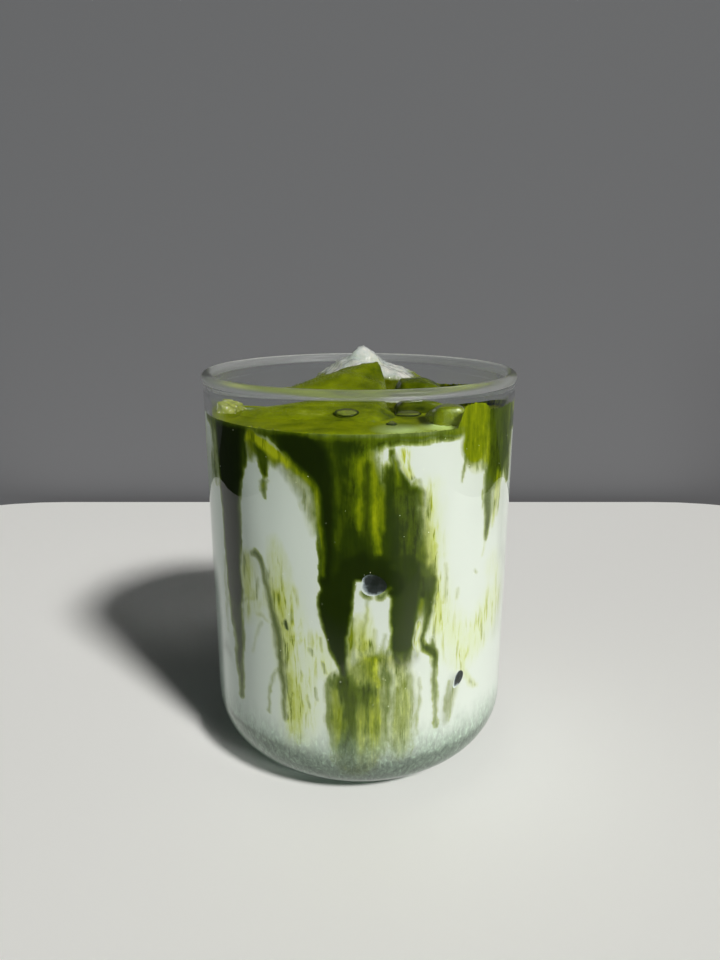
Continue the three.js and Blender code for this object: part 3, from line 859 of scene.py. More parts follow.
def bumped(tree, shader, height, strength, distance):
    """Roughens a surface by a height."""
    bump = tree.nodes.new("ShaderNodeBump")
    set_sockets(bump, Strength=strength, Distance=distance)
    tree.links.new(height, bump.inputs["Height"])
    tree.links.new(bump.outputs["Normal"], shader.inputs["Normal"])


def plain_material(name, shade, roughness):
    material, _, shader = new_material(name)
    set_sockets(shader, Base_Color=colour(shade), Roughness=roughness, Specular_IOR_Level=0.3)
    return material


# How much each noise stirs the matcha, and how much the veins add where it is only a wash
STIR = {"Streaks": 0.36, "Threads": 0.2, "Blots": 0.36, "Flecks": 0.22, "Grains": 0.10}
VEINS = 0.3
EDGE_STIR = 3.0


def stir_group():
    """A node group that stirs streaks, blots and grains into the strength of the matcha and into its edge."""
    group = bpy.data.node_groups.get("Stirred")
    if group:
        return group
    group = bpy.data.node_groups.new("Stirred", "ShaderNodeTree")
    for name in ("Strength", "Cover", "Loose", "Veins", *STIR):
        node_input(group, name, "NodeSocketFloat", 0.5)
    for name in ("Strength", "Cover"):
        group.interface.new_socket(name, in_out="OUTPUT", socket_type="NodeSocketFloat")
    given, result = group.nodes.new("NodeGroupInput"), group.nodes.new("NodeGroupOutput")
    stir = 0.0
    for name, share in STIR.items():
        part = product(group, maths(group, "SUBTRACT", given.outputs[name], 0.5), share)
        stir = maths(group, "ADD", part, stir)
    strength, cover = given.outputs["Strength"], given.outputs["Cover"]
    free = ranged(group, given.outputs["Loose"], 0.0, 1.0, 0.15, 1.0)
    room = product(group, ranged(group, strength, 0.2, 0.6), ranged(group, strength, 1.0, 0.6), free)
    edge = product(group, maths(group, "SUBTRACT", 1.0, cover), cover, EDGE_STIR, free)
    washed = product(group, ranged(group, cover, 0.08, 0.4), ranged(group, strength, 0.52, 0.34))
    veins = product(group, given.outputs["Veins"], washed, VEINS)
    for name, ground, share in (("Strength", strength, room), ("Cover", cover, edge)):
        mixed = maths(group, "ADD", ground, product(group, stir, share), clamp=True)
        group.links.new(maths(group, "ADD", mixed, veins, clamp=True), result.inputs[name])
    return group


def soaked(tree, cover, ground, shade):
    """A colour laid over a ground as a stain is, so that its thin edge keeps its hue."""
    parts = tree.nodes.new("ShaderNodeSeparateColor")
    joined = tree.nodes.new("ShaderNodeCombineColor")
    tree.links.new(shade, parts.inputs["Color"])
    for name, light in zip(("Red", "Green", "Blue"), ground):
        left = maths(tree, "POWER", maths(tree, "DIVIDE", parts.outputs[name], light), cover)
        tree.links.new(product(tree, left, light), joined.inputs[name])
    return joined.outputs["Color"]


# A greyer green, streaked band round the base, painted for the shade and reflection of its thick glass: where
# it begins and where it is full, how far its edge frays, and how light it is along its streaks
PAINTED_BASE_TOP, PAINTED_BASE_FULL, PAINTED_BASE_FRAY = 23 * MM, 9 * MM, 1.5 * MM
PAINTED_BASE_LIGHT = ((0.0, 0.42), (0.6, 0.8), (1.0, 1.36))


def drink_material(name, settings):
    """Milk and matcha as they show through the wall: stirred strokes, painted shade, and the painted shade
    and reflection of the thick base.
    """
    material, tree, shader = new_material(name)
    noises = {
        "Streaks": wall_noise(tree, (620, 620, 48), 2, 0.5, 0.28, 0.72, 0.0),
        "Threads": wall_noise(tree, (2200, 2200, 130), 3, 0.6, 0.32, 0.68, 5.3),
        "Blots": wall_noise(tree, (420, 420, 190), 3, 0.55, 0.32, 0.68, 3.1),
        "Flecks": wall_noise(tree, (1000, 1000, 380), 3, 0.6, 0.32, 0.68, 1.9),
        "Grains": wall_noise(tree, (3600, 3600, 3000), 2, 0.7, 0.3, 0.7, 7.7),
    }
    lines = wall_noise(tree, (800, 800, 110), 3, 0.55, 0.3, 0.7, 2.6, swirl=0.5)
    needles = wall_noise(tree, (1000, 1000, 460), 4, 0.65, 0.3, 0.7, 9.4, swirl=0.8)
    stirred = tree.nodes.new("ShaderNodeGroup")
    stirred.node_tree = stir_group()
    for part in ("Strength", "Cover", "Loose"):
        tree.links.new(attribute(tree, part.lower()), stirred.inputs[part])
    for part, value in noises.items():
        tree.links.new(value, stirred.inputs[part])
    tree.links.new(ranged(tree, lines, 0.5, 0.95, smooth=True), stirred.inputs["Veins"])
    strength, cover, milk = stirred.outputs["Strength"], stirred.outputs["Cover"], tuple(settings.milk)
    stops = (
        (0.0, milk), (0.10, settings.tint), (0.22, settings.pale), (0.34, settings.bright),
        (0.48, settings.olive), (0.66, settings.thin), (0.84, settings.thick), (1.0, settings.matcha),
    )
    shade = ramp(tree, strength, stops)
    laid, stained = blended(tree, cover, milk, shade), soaked(tree, cover, milk, shade)
    shade = blended(tree, ranged(tree, strength, 0.5, 0.8), laid, stained)
    film_and_shade_grey = ramp(tree, noises["Blots"], ((0.0, scaled(settings.grey, 0.7)), (1.0, settings.grey)))
    uneven = ranged(tree, noises["Streaks"], 0.0, 1.0, 0.75, 1.1)
    # Greys the matcha where a film of milk lies over it, and the milk where shade is painted on it
    shade = blended(tree, maths(tree, "MULTIPLY", attribute(tree, "film"), uneven, clamp=True), shade, film_and_shade_grey)
    # Painted shade and reflection of the thick base: greyer green, streaked, full towards the bottom
    height = axis_of(tree, attribute(tree, "unrolled", "Vector"), "Z")
    fray = ranged(tree, noises["Blots"], 0.0, 1.0, -PAINTED_BASE_FRAY, PAINTED_BASE_FRAY)
    frost = ranged(tree, maths(tree, "ADD", height, fray), PAINTED_BASE_TOP, PAINTED_BASE_FULL, 0.0, 0.95, smooth=True)
    frost = product(tree, frost, ranged(tree, cover, 0.0, 1.0, 1.0, 0.5))
    base_shade_and_reflection = ramp(tree, needles, [(at, scaled(settings.frost, light)) for at, light in PAINTED_BASE_LIGHT])
    tree.links.new(blended(tree, frost, shade, base_shade_and_reflection), shader.inputs["Base Color"])
    set_sockets(shader, Roughness=0.5, Specular_IOR_Level=0.08, IOR=1.34)
    return material


# Where the top of the drink is pale: [x, y, radius], in millimetres
PALE_PLACES = ((-29, 6, 9), (9, -30, 7), (18, -27, 6), (27, -18, 4))


def pale_places(places):
    """How pale the top of the drink is at each point."""
    share = np.zeros(len(places))
    for x, y, radius in PALE_PLACES:
        away = np.hypot(places[:, 0] - x * MM, places[:, 1] - y * MM) / (radius * MM)
        share = np.maximum(share, np.clip(1.3 - 1.3 * away, 0, 1))
    return share


def surface_material(settings):
    """The top of the drink: wet matcha with paler swirls."""
    material, tree, shader = new_material("matcha_surface")
    swirls = noise_at(tree, (160, 160, 160), 5, 0.6, seed=1.7)
    grains = noise_at(tree, (1800, 1800, 1800), 3, 0.7, seed=4.2)
    shade = blended(tree, ranged(tree, swirls, 0.22, 0.6), tuple(settings.thin), tuple(settings.olive))
    shade = blended(tree, ranged(tree, grains, 0.55, 0.75, 0.0, 0.3), shade, tuple(settings.bright))
    shade = blended(tree, attribute(tree, "pale"), shade, tuple(settings.clouded))
    tree.links.new(shade, shader.inputs["Base Color"])
    bumped(tree, shader, swirls, 0.12, 0.3 * MM)
    set_sockets(shader, Roughness=0.15, IOR=1.34, Specular_IOR_Level=0.015)
    return material


def lets_light_pass(material, share):
    """Lets a share of the light through a clear material, so that what it holds is lit."""
    tree = material.node_tree
    ray = tree.nodes.new("ShaderNodeLightPath")
    clear = tree.nodes.new("ShaderNodeBsdfTransparent")
    mixed = tree.nodes.new("ShaderNodeMixShader")
    tree.links.new(product(tree, ray.outputs["Is Shadow Ray"], share), mixed.inputs["Fac"])
    tree.links.new(tree.nodes["Principled BSDF"].outputs["BSDF"], mixed.inputs[1])
    tree.links.new(clear.outputs["BSDF"], mixed.inputs[2])
    tree.links.new(mixed.outputs["Shader"], tree.nodes["Material Output"].inputs["Surface"])


GLASS_GLOSS = (0.62, 0.62, 0.62, 1.0)
# Painted shade: the colour that the base glass darkens to at its bottom
BASE_PAINTED_SHADE = srgb(130, 164, 146)


def glass_material(tint):
    material, _, shader = new_material("tumbler_glass")
    set_sockets(shader, Base_Color=colour(tint), Transmission_Weight=1.0, Roughness=0.0, IOR=1.5)
    set_sockets(shader, Specular_Tint=GLASS_GLOSS)
    lets_light_pass(material, 0.94)
    return material


def lip_material(tint):
    """The rolled lip, whose thick glass is milky with the light that it gathers."""
    material, _, shader = new_material("lip_glass")
    set_sockets(shader, Base_Color=colour(tint), Transmission_Weight=0.94, Roughness=0.34, IOR=1.2)
    lets_light_pass(material, 0.8)
    return material


def base_material(tint):
    """The thick glass of the base, which throws the light aside, and whose colour darkens towards its bottom
    as painted shade.
    """
    material, tree, shader = new_material("base_glass")
    # Painted shade, darker green towards the bottom of the base
    depth = ranged(tree, axis_of(tree, object_place(tree), "Z"), 9 * MM, 1 * MM, smooth=True)
    tree.links.new(blended(tree, depth, tuple(tint), BASE_PAINTED_SHADE), shader.inputs["Base Color"])
    set_sockets(shader, Transmission_Weight=1.0, Roughness=0.0, IOR=1.5, Specular_Tint=GLASS_GLOSS)
    lets_light_pass(material, 0.1)
    return material


def scatters(shader, weight, reach):
    """Lets light wander in a body, as far as it reaches in red, green and blue."""
    set_sockets(shader, Subsurface_Weight=weight, Subsurface_Radius=reach, Subsurface_Scale=1.0)


# Height to which the bare ice is coated: from bare down to fully coated, and how far that edge frays
COAT_TOP, COAT_FULL, COAT_FRAY = 99 * MM, 97.6 * MM, 0.8 * MM


def bare_ice_material(settings):
    """Bare ice: cloudy and clear in turns, crackled, with a breath of green, and coated at its foot."""
    material, tree, shader = new_material("bare_ice")
    frost = noise_at(tree, (210, 210, 210), 6, 0.65, seed=2.2)
    crackle = noise_at(tree, (1100, 1100, 1100), 5, 0.75, seed=9.1)
    greens = noise_at(tree, (120, 120, 120), 3, 0.5, seed=5.5)
    shade = blended(tree, ranged(tree, frost, 0.4, 0.65), tuple(settings.bare_dark), tuple(settings.bare))
    shade = blended(tree, ranged(tree, greens, 0.52, 0.7, 0.0, 0.55), shade, tuple(settings.bare_green))
    fray = ranged(tree, frost, 0.3, 0.7, -COAT_FRAY, COAT_FRAY)
    height = maths(tree, "ADD", axis_of(tree, object_place(tree), "Z"), fray)
    coated = ranged(tree, height, COAT_TOP, COAT_FULL, smooth=True)
    tree.links.new(blended(tree, coated, shade, tuple(settings.coat_light)), shader.inputs["Base Color"])
    tree.links.new(ranged(tree, frost, 0.35, 0.7, 0.06, 0.35), shader.inputs["Roughness"])
    bumped(tree, shader, crackle, 0.9, 0.8 * MM)
    set_sockets(shader, Transmission_Weight=0.08, IOR=1.31, Coat_Weight=0.8, Coat_Roughness=0.04)
    scatters(shader, 0.7, (7 * MM, 7 * MM, 6 * MM))
    lets_light_pass(material, 0.4)
    return material


def coated_ice_material(settings):
    """Ice under a coat of matcha that is thicker in some places."""
    material, tree, shader = new_material("coated_ice")
    coat = noise_at(tree, (150, 150, 190), 5, 0.6, seed=6.4)
    grains = noise_at(tree, (1700, 1700, 1700), 3, 0.75, seed=8.3)
    share = maths(tree, "ADD", attribute(tree, "coat"), ranged(tree, coat, 0.3, 0.7, -0.26, 0.26))
    share = maths(tree, "ADD", share, ranged(tree, grains, 0.3, 0.7, -0.05, 0.05), clamp=True)
    stops = ((0.0, settings.coat_pale), (0.4, settings.coat_light), (1.0, settings.coat_dark))
    tree.links.new(ramp(tree, share, stops), shader.inputs["Base Color"])
    tree.links.new(ranged(tree, grains, 0.3, 0.7, 0.12, 0.38), shader.inputs["Roughness"])
    bumped(tree, shader, grains, 0.2, 0.3 * MM)
    set_sockets(shader, IOR=1.34, Specular_IOR_Level=0.1, Coat_Weight=0.12, Coat_Roughness=0.05)
    scatters(shader, 0.25, (2 * MM, 2.2 * MM, 0.4 * MM))
    return material


def wet_ice_material(settings):
    """Ice that is only wet with matcha, so that light glints on it, with painted white glints where it is
    barest.
    """
    material, tree, shader = new_material("wet_ice")
    lumps = noise_at(tree, (420, 420, 420), 4, 0.6, seed=3.7)
    glint_noise = noise_at(tree, (900, 900, 900), 3, 0.6, seed=7.9)
    coat = attribute(tree, "coat")
    share = maths(tree, "ADD", coat, ranged(tree, lumps, 0.3, 0.7, -0.3, 0.3), clamp=True)
    stops = ((0.0, settings.coat_pale), (0.5, settings.coat_grey), (1.0, settings.coat_light))
    # Painted glints: white flecks on the barest ice
    painted_glints = product(tree, ranged(tree, glint_noise, 0.58, 0.66), ranged(tree, coat, 0.2, 0.5, 1.0, 0.0))
    shade = blended(tree, painted_glints, ramp(tree, share, stops), tuple(settings.bare))
    tree.links.new(shade, shader.inputs["Base Color"])
    bumped(tree, shader, lumps, 0.8, 0.6 * MM)
    set_sockets(shader, Transmission_Weight=0.4, Roughness=0.12, IOR=1.31)
    set_sockets(shader, Coat_Weight=0.8, Coat_Roughness=0.03)
    lets_light_pass(material, 0.3)
    return material


# Pieces


# How finely the tumbler is turned: along its straight stretches, in each round corner and about the axis
STRAIGHT_STEP, CORNER_STEPS, TUMBLER_SIDES = 4 * MM, 20, 200


class LATTE_OT_tumbler(bpy.types.Operator):
    """Makes the straight glass tumbler with its rolled lip and rounded base."""

    bl_idname = "latte.tumbler"
    bl_label = "Tumbler"

    def execute(self, context):
        size = context.scene.latte_tumbler
        wall = size.radius - size.inside_radius
        lip = size.lip / 2
        lip_centre = (size.radius + LIP_PROUD - lip, size.height - lip)
        neck = lip_centre[1] - 0.8 * lip
        inner = size.corner - wall
        profile = [
            (0.0, 0.0),
            *line((0, 0), (size.radius - size.corner, 0), STRAIGHT_STEP),
            *arc((size.radius - size.corner, size.corner), size.corner, -90, 0, CORNER_STEPS),
            *line((size.radius, size.corner), (size.radius, neck), STRAIGHT_STEP),
            (size.radius, neck),
            *arc(lip_centre, lip, -40, 220, CORNER_STEPS),
            (size.inside_radius, neck),
            *line((size.inside_radius, neck), (size.inside_radius, size.base + inner), STRAIGHT_STEP),
            *arc((size.inside_radius - inner, size.base + inner), inner, 0, -90, CORNER_STEPS),
            *line((size.inside_radius - inner, size.base), (0, size.base), STRAIGHT_STEP),
            (0.0, size.base),
        ]
        made = turned_piece("tumbler", profile, TUMBLER_SIDES, glass_material(size.tint))
        made.data.materials.append(lip_material(size.tint))
        made.data.materials.append(base_material(size.tint))
        heights = np.array([face.center.z for face in made.data.polygons])
        kinds = np.select([heights > size.height - size.lip, heights < size.corner], [1, 2], 0)
        made.data.polygons.foreach_set("material_index", kinds.astype(np.int32))
        dress(made, "glass", "glass")
        return {"FINISHED"}


# How finely the drink is turned: down the wall, over the surface, where it is hidden, and about the axis
MILK_STEP, MATCHA_STEP, SURFACE_STEP, HIDDEN_STEP, DRINK_SIDES = 0.45 * MM, 0.35 * MM, 0.9 * MM, 6 * MM, 440


def drink_profile(context, bottom, top, step):
    """The drink's side from the axis at its bottom, up the wall, to the top of the wall."""
    size, drink = context.scene.latte_tumbler, context.scene.latte_drink
    radius = size.inside_radius + drink.into_wall
    corner = size.corner - (size.radius - size.inside_radius) + drink.into_wall
    low = size.base - drink.into_wall
    if bottom > low + corner:
        side = [(0.0, bottom), *line((0, bottom), (radius, bottom), 2 * MM), (radius, bottom)]
    else:
        steps = round(corner * math.pi / 2 / step)
        side = [
            (0.0, low),
            *line((0, low), (radius - corner, low), HIDDEN_STEP),
            *arc((radius - corner, low + corner), corner, -90, 0, steps),
        ]
    return [*side, *line(side[-1], (radius, top), step), (radius, top)]


# How much closer the columns of the mesh stand at the front
GATHERED = 0.55


def gather_to_front(mesh):
    """Moves the columns of a turned mesh round towards the front, where the finest lines are painted."""
    places = positions(mesh)
    angle = np.arctan2(places[:, 0], -places[:, 1])
    reach = np.hypot(places[:, 0], places[:, 1])
    angle -= GATHERED * np.sin(angle)
    places[:, 0] = reach * np.sin(angle)
    places[:, 1] = -reach * np.cos(angle)
    set_positions(mesh, places)


class LATTE_OT_milk(bpy.types.Operator):
    """Makes the milk, with the runs of matcha that show on its wall."""

    bl_idname = "latte.milk"
    bl_label = "Milk"

    def execute(self, context):
        drink = context.scene.latte_drink
        side = drink_profile(context, 0.0, LAYER_BOTTOM, MILK_STEP)
        radius, top = side[-1]
        profile = [*side, *line((radius, top), (0, top), HIDDEN_STEP), (0.0, top)]
        made = turned_piece("milk_body", profile, DRINK_SIDES, drink_material("milk", drink))
        gather_to_front(made.data)
        paint(made.data)
        dress(made, "milk", "milk")
        return {"FINISHED"}


def run_mesh(name, radius):
    """One run of matcha: a lens-shaped strip inside the wall that follows its stations down."""
    depth, stations = RUNS[name]
    across = np.linspace(-1, 1, 17)
    rings = []
    for angle, height, half in smooth_course(stations, parts=12):
        turns = np.radians(angle + half * across)
        dips = min(depth, half) * np.sqrt(1 - across**2)
        ring = [(radius * math.sin(t), -radius * math.cos(t), height * MM) for t in turns]
        for t, dip in zip(turns[-2:0:-1], dips[-2:0:-1]):
            inside = radius - dip * MM
            ring.append((inside * math.sin(t), -inside * math.cos(t), height * MM))
        rings.append(ring)
    return tube_mesh(name, rings)


def join_solids(made, others):
    """Joins closed shapes into one closed shape and removes them."""
    group = bpy.data.collections.new("to_join")
    for other in others:
        group.objects.link(other)
    modifier = made.modifiers.new("Join", "BOOLEAN")
    modifier.operation = "UNION"
    modifier.operand_type = "COLLECTION"
    modifier.collection = group
    modifier.solver = "MANIFOLD"
    apply_modifiers(made)
    for other in others:
        bpy.data.objects.remove(other)
    bpy.data.collections.remove(group)
    return made


def ice_trees():
    """Search trees over the ice, to find how near a point of the surface is to it."""
    trees = []
    for name in ICE_PIECES:
        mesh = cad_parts[name].data
        mesh.calc_loop_triangles()
        corners = [tuple(t.vertices) for t in mesh.loop_triangles]
        trees.append(BVHTree.FromPolygons([v.co for v in mesh.vertices], corners))
    return trees


# How far from the wall and from the ice the surface is drawn up, then its ripples: their height, how many
# there are in a metre, and how far from the wall they are full
WALL_REACH, ICE_REACH = 0.7 * MM, 0.8 * MM
RIPPLE, RIPPLES, RIPPLE_REACH = 0.12 * MM, 180, 2 * MM


def wet_edges(places, level, radius):
    """Draws the surface up a little where it wets the wall and the ice."""
    trees = ice_trees()
    for i in np.flatnonzero(places[:, 2] > level - 0.01 * MM):
        x, y, _ = places[i]
        to_wall = radius - math.hypot(x, y)
        to_ice = min(tree.find_nearest(Vector(places[i]))[3] for tree in trees)
        rise = MENISCUS * math.exp(-to_wall / WALL_REACH) + MENISCUS * math.exp(-to_ice / ICE_REACH)
        ripple = RIPPLE * noise.noise(Vector(places[i]) * RIPPLES)
        places[i, 2] = level + min(rise, 1.5 * MENISCUS) + ripple * min(1.0, to_wall / RIPPLE_REACH)
    return places


class LATTE_OT_matcha(bpy.types.Operator):
    """Makes the matcha: the layer on top and the runs that hang from it inside the wall."""

    bl_idname = "latte.matcha"
    bl_label = "Matcha"

    def execute(self, context):
        drink = context.scene.latte_drink
        side = drink_profile(context, LAYER_BOTTOM, drink.level, MATCHA_STEP)
        radius, top = side[-1]
        profile = [*side, *line((radius, top), (0, top), SURFACE_STEP), (0.0, top)]
        made = turned_piece("matcha_body", profile, DRINK_SIDES, drink_material("matcha", drink))
        gather_to_front(made.data)
        behind_wall = radius - 0.02 * MM
        runs = [add_object(name, run_mesh(name, behind_wall)) for name in RUNS]
        join_solids(made, runs)
        mesh = made.data
        set_positions(mesh, wet_edges(positions(mesh), drink.level, radius))
        paint(mesh)
        set_attribute(mesh, "pale", "FLOAT", pale_places(positions(mesh)))
        mesh.materials.append(surface_material(drink))
        lowest = drink.level - 0.3 * MM
        on_top = np.array([face.normal.z > 0.4 and face.center.z > lowest for face in mesh.polygons])
        mesh.polygons.foreach_set("material_index", np.where(on_top, len(mesh.materials) - 1, 0))
        smooth_shaded(mesh)
        dress(made, "matcha", "matcha")
        return {"FINISHED"}


WET_ICE = ("ice_left", "ice_right")

# How thick the matcha lies on each piece of ice at its left and its right, from 0 to 1
COATS = {
    "ice_back": (0.0, 0.0),
    "ice_front": (0.4, 0.72),
    "ice_middle": (0.8, 0.7),
    "ice_left": (0.0, 0.15),
    "ice_right": (1.0, 0.8),
}

# How far knobs stand out on the roughest pieces, in millimetres
KNOBS = {"ice_left": 1.1, "ice_back": 0.5}

# How many hollows, knobs and fine ripples there are in a metre of ice, and how high the fine ripples are
ICE_HOLLOWS, ICE_KNOBS, ICE_RIPPLES, ICE_RIPPLE = 130, 480, 700, 0.12 * MM
ICE_TO_WALL = 0.1 * MM


def melted_ice(node, settings):
    """A piece of ice in the place of its solid, with the hollows and ripples of melting."""
    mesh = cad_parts[node].data.copy()
    mesh.name = node + "_melted"
    made = add_object(node + "_melted", mesh)
    add_weld(made, 0.01 * MM)
    remesh = made.modifiers.new("Remesh", "REMESH")
    remesh.mode = "VOXEL"
    remesh.voxel_size = settings.grain * (0.5 if node in KNOBS else 1.0)
    soften = made.modifiers.new("Soften", "SMOOTH")
    soften.iterations = 4
    apply_modifiers(made)
    mesh = made.data
    places = positions(mesh)
    normals = np.array([v.normal[:] for v in mesh.vertices])
    for i, place in enumerate(places):
        point = Vector(place)
        hollow = settings.melt * noise.fractal(point * ICE_HOLLOWS, 0.9, 2.1, 3)
        ripple = ICE_RIPPLE * noise.noise(point * ICE_RIPPLES)
        knob = KNOBS.get(node, 0.0) * MM * noise.noise(point * ICE_KNOBS)
        places[i] += normals[i] * (hollow + ripple + knob)
    reach = np.hypot(places[:, 0], places[:, 1])
    inside = INSIDE_RADIUS - ICE_TO_WALL
    places[:, :2] *= np.minimum(1.0, inside / np.maximum(reach, 1e-9))[:, None]
    set_positions(mesh, places)
    across = (places[:, 0] - places[:, 0].min()) / np.ptp(places[:, 0])
    left, right = COATS[node]
    set_attribute(mesh, "coat", "FLOAT", left + (right - left) * across)
    return made


class LATTE_OT_ice(bpy.types.Operator):
    """Makes the ice that stands out of the drink: one bare piece and the pieces coated with matcha."""

    bl_idname = "latte.ice"
    bl_label = "Ice"

    def execute(self, context):
        settings = context.scene.latte_ice
        finishes = {"clear_ice": bare_ice_material(settings), "matcha_ice": coated_ice_material(settings)}
        wet = wet_ice_material(settings)
        for node, slot in ICE_PIECES.items():
            made = melted_ice(node, settings)
            made.data.materials.clear()
            made.data.materials.append(wet if node in WET_ICE else finishes[slot])
            smooth_shaded(made.data)
            dress(made, slot, node)
        return {"FINISHED"}


# Corners of sunken ice that press against the wall: [angle, height, half width, half height, lean], in
# millimetres and degrees.
SUNKEN_ICE = ((4.7, 57.9, 3.2, 2.3, -18), (38.3, 29.6, 1.3, 2.4, -24))

# How far they stand out of the drink and into it, in millimetres
SUNKEN_OUT, SUNKEN_IN = 0.06, 3.0


def sunken_corner(spot, radius):
    """Points, faces and distances from the middle of one flattened corner of ice behind the wall."""
    angle, height, half_wide, half_high, lean = spot
    tilt = math.radians(lean)
    rings, steps = 14, 48
    points, rims, faces = [], [], []
    for depth in (SUNKEN_OUT, -SUNKEN_IN):
        for ring in range(rings + 1):
            share = ring / rings
            for step in range(steps):
                turn = 2 * math.pi * step / steps
                wave = 1 + 0.1 * math.sin(2 * turn + angle) + 0.06 * math.sin(3 * turn + 1.0)
                u = half_wide * share * wave * math.cos(turn)
                v = half_high * share * wave * math.sin(turn)
                across = u * math.cos(tilt) - v * math.sin(tilt)
                up = u * math.sin(tilt) + v * math.cos(tilt)
                out = radius + depth * math.sqrt(1 - share**2) * MM
                around = math.radians(angle) + across * MM / radius
                points.append((out * math.sin(around), -out * math.cos(around), (height + up) * MM))
                rims.append(share**2 * (0.5 - 0.5 * math.cos(turn - 0.9)))
    for half in range(2):
        for ring in range(rings):
            for step in range(steps):
                low = (half * (rings + 1) + ring) * steps
                after = (step + 1) % steps
                corner = (low + step, low + after, low + steps + after, low + steps + step)
                faces.append(corner[::-1] if half else corner)
    return points, faces, rims


# Colours of the sunken ice, from its dark middle to the milk round it
SUNKEN_SHADES = (
    (0.0, srgb(22, 26, 22)), (0.3, srgb(48, 54, 54)), (0.55, srgb(128, 138, 142)), (0.8, srgb(206, 214, 212)),
)


def sunken_material():
    """Dark wet ice with a pale rim of milk round it."""
    material, tree, shader = new_material("sunken_ice")
    cracks = noise_at(tree, (600, 600, 600), 3, 0.6, seed=2.9)
    crack = ranged(tree, cracks, 0.3, 0.7, -0.18, 0.18)
    share = maths(tree, "ADD", attribute(tree, "rim"), crack, clamp=True)
    tree.links.new(ramp(tree, share, SUNKEN_SHADES), shader.inputs["Base Color"])
    set_sockets(shader, Roughness=0.3, IOR=1.31)
    return material


def merged_piece(name, parts, material):
    """One mesh from several lists of points and faces."""
    points, faces = [], []
    for more_points, more_faces in parts:
        faces += [tuple(i + len(points) for i in face) for face in more_faces]
        points += more_points
    mesh = bpy.data.meshes.new(name)
    mesh.from_pydata(points, [], faces)
    mesh.materials.append(material)
    return add_object(name, mesh)


class LATTE_OT_sunken_ice(bpy.types.Operator):
    """Makes the corners of sunken ice that show behind the wall."""

    bl_idname = "latte.sunken_ice"
    bl_label = "Sunken ice"

    def execute(self, context):
        radius = context.scene.latte_tumbler.inside_radius + 2 * context.scene.latte_drink.into_wall
        corners = [sunken_corner(spot, radius) for spot in SUNKEN_ICE]
        made = merged_piece("sunken_ice", [corner[:2] for corner in corners], sunken_material())
        rims = np.concatenate([corner[2] for corner in corners])
        set_attribute(made.data, "rim", "FLOAT", rims)
        add_weld(made, 0.005 * MM)
        apply_modifiers(made)
        smooth_shaded(made.data)
        dress(made, "clear_ice")
        return {"FINISHED"}


# The large bubbles: [x, y, foot height, radius, height, tilt to the front], in millimetres and degrees
BUBBLES = (
    (-2.9, -19.0, 94.9, 2.6, 1.3, 25),
    (12.0, -11.2, 92.95, 3.1, 1.8, 8),
    (7.4, -24.5, 92.0, 1.0, 0.8, 0),
)
BUBBLE_SKIN, BUBBLE_RING = 0.12, 0.3
CLEAR_SKIN = srgb(226, 230, 170)


def film_material(drink):
    """The skin of a bubble: clear in the middle, dark where it is seen edge on."""
    material, tree, shader = new_material("bubble_film")
    seen = tree.nodes.new("ShaderNodeLayerWeight")
    seen.inputs["Blend"].default_value = 0.5
    stops = ((0.0, CLEAR_SKIN), (0.55, CLEAR_SKIN), (0.85, drink.thick), (1.0, drink.thick))
    tree.links.new(ramp(tree, seen.outputs["Facing"], stops), shader.inputs["Base Color"])
    set_sockets(shader, Transmission_Weight=0.95, Roughness=0.02, IOR=1.1)
    lets_light_pass(material, 0.8)
    return material


def dome_profile(radius, height, thickness):
    """A thin dome over a round foot, as points from the axis out and back to it."""
    outer = [(radius * math.sin(t), height * math.cos(t)) for t in np.linspace(math.pi / 2, 0, 17)]
    shrunk = (radius - thickness) / radius
    inner = [(x * shrunk, max(0.0, y - thickness * (y / height))) for x, y in reversed(outer)]
    return [(x * MM, y * MM) for x, y in [*inner, *outer]]


def ring_piece(name, radius, thickness, material):
    bpy.ops.mesh.primitive_torus_add(
        major_radius=radius * MM, minor_radius=thickness * MM, major_segments=64, minor_segments=14
    )
    made = bpy.context.object
    made.name = name
    made.data.name = name
    made.data.materials.append(material)
    smooth_shaded(made.data)
    return made


class LATTE_OT_bubbles(bpy.types.Operator):
    """Makes the large bubbles on the surface, each with the ring of matcha that it draws up."""

    bl_idname = "latte.bubbles"
    bl_label = "Bubbles"

    def execute(self, context):
        drink = context.scene.latte_drink
        film, foot = film_material(drink), plain_material("bubble_foot", tuple(drink.thick), 0.15)
        for number, (x, y, z, radius, height, tilt) in enumerate(BUBBLES, 1):
            lean = Matrix.Rotation(math.radians(tilt), 4, "X")
            place = Matrix.Translation((x * MM, y * MM, z * MM))
            dome = turned_piece(f"bubble_{number}", dome_profile(radius, height, BUBBLE_SKIN), 48, film)
            ring = ring_piece(f"bubble_ring_{number}", radius, BUBBLE_RING, foot)
            for made in (dome, ring):
                made.data.transform(lean)
                made.data.transform(place)
                dress(made, "matcha")
        return {"FINISHED"}


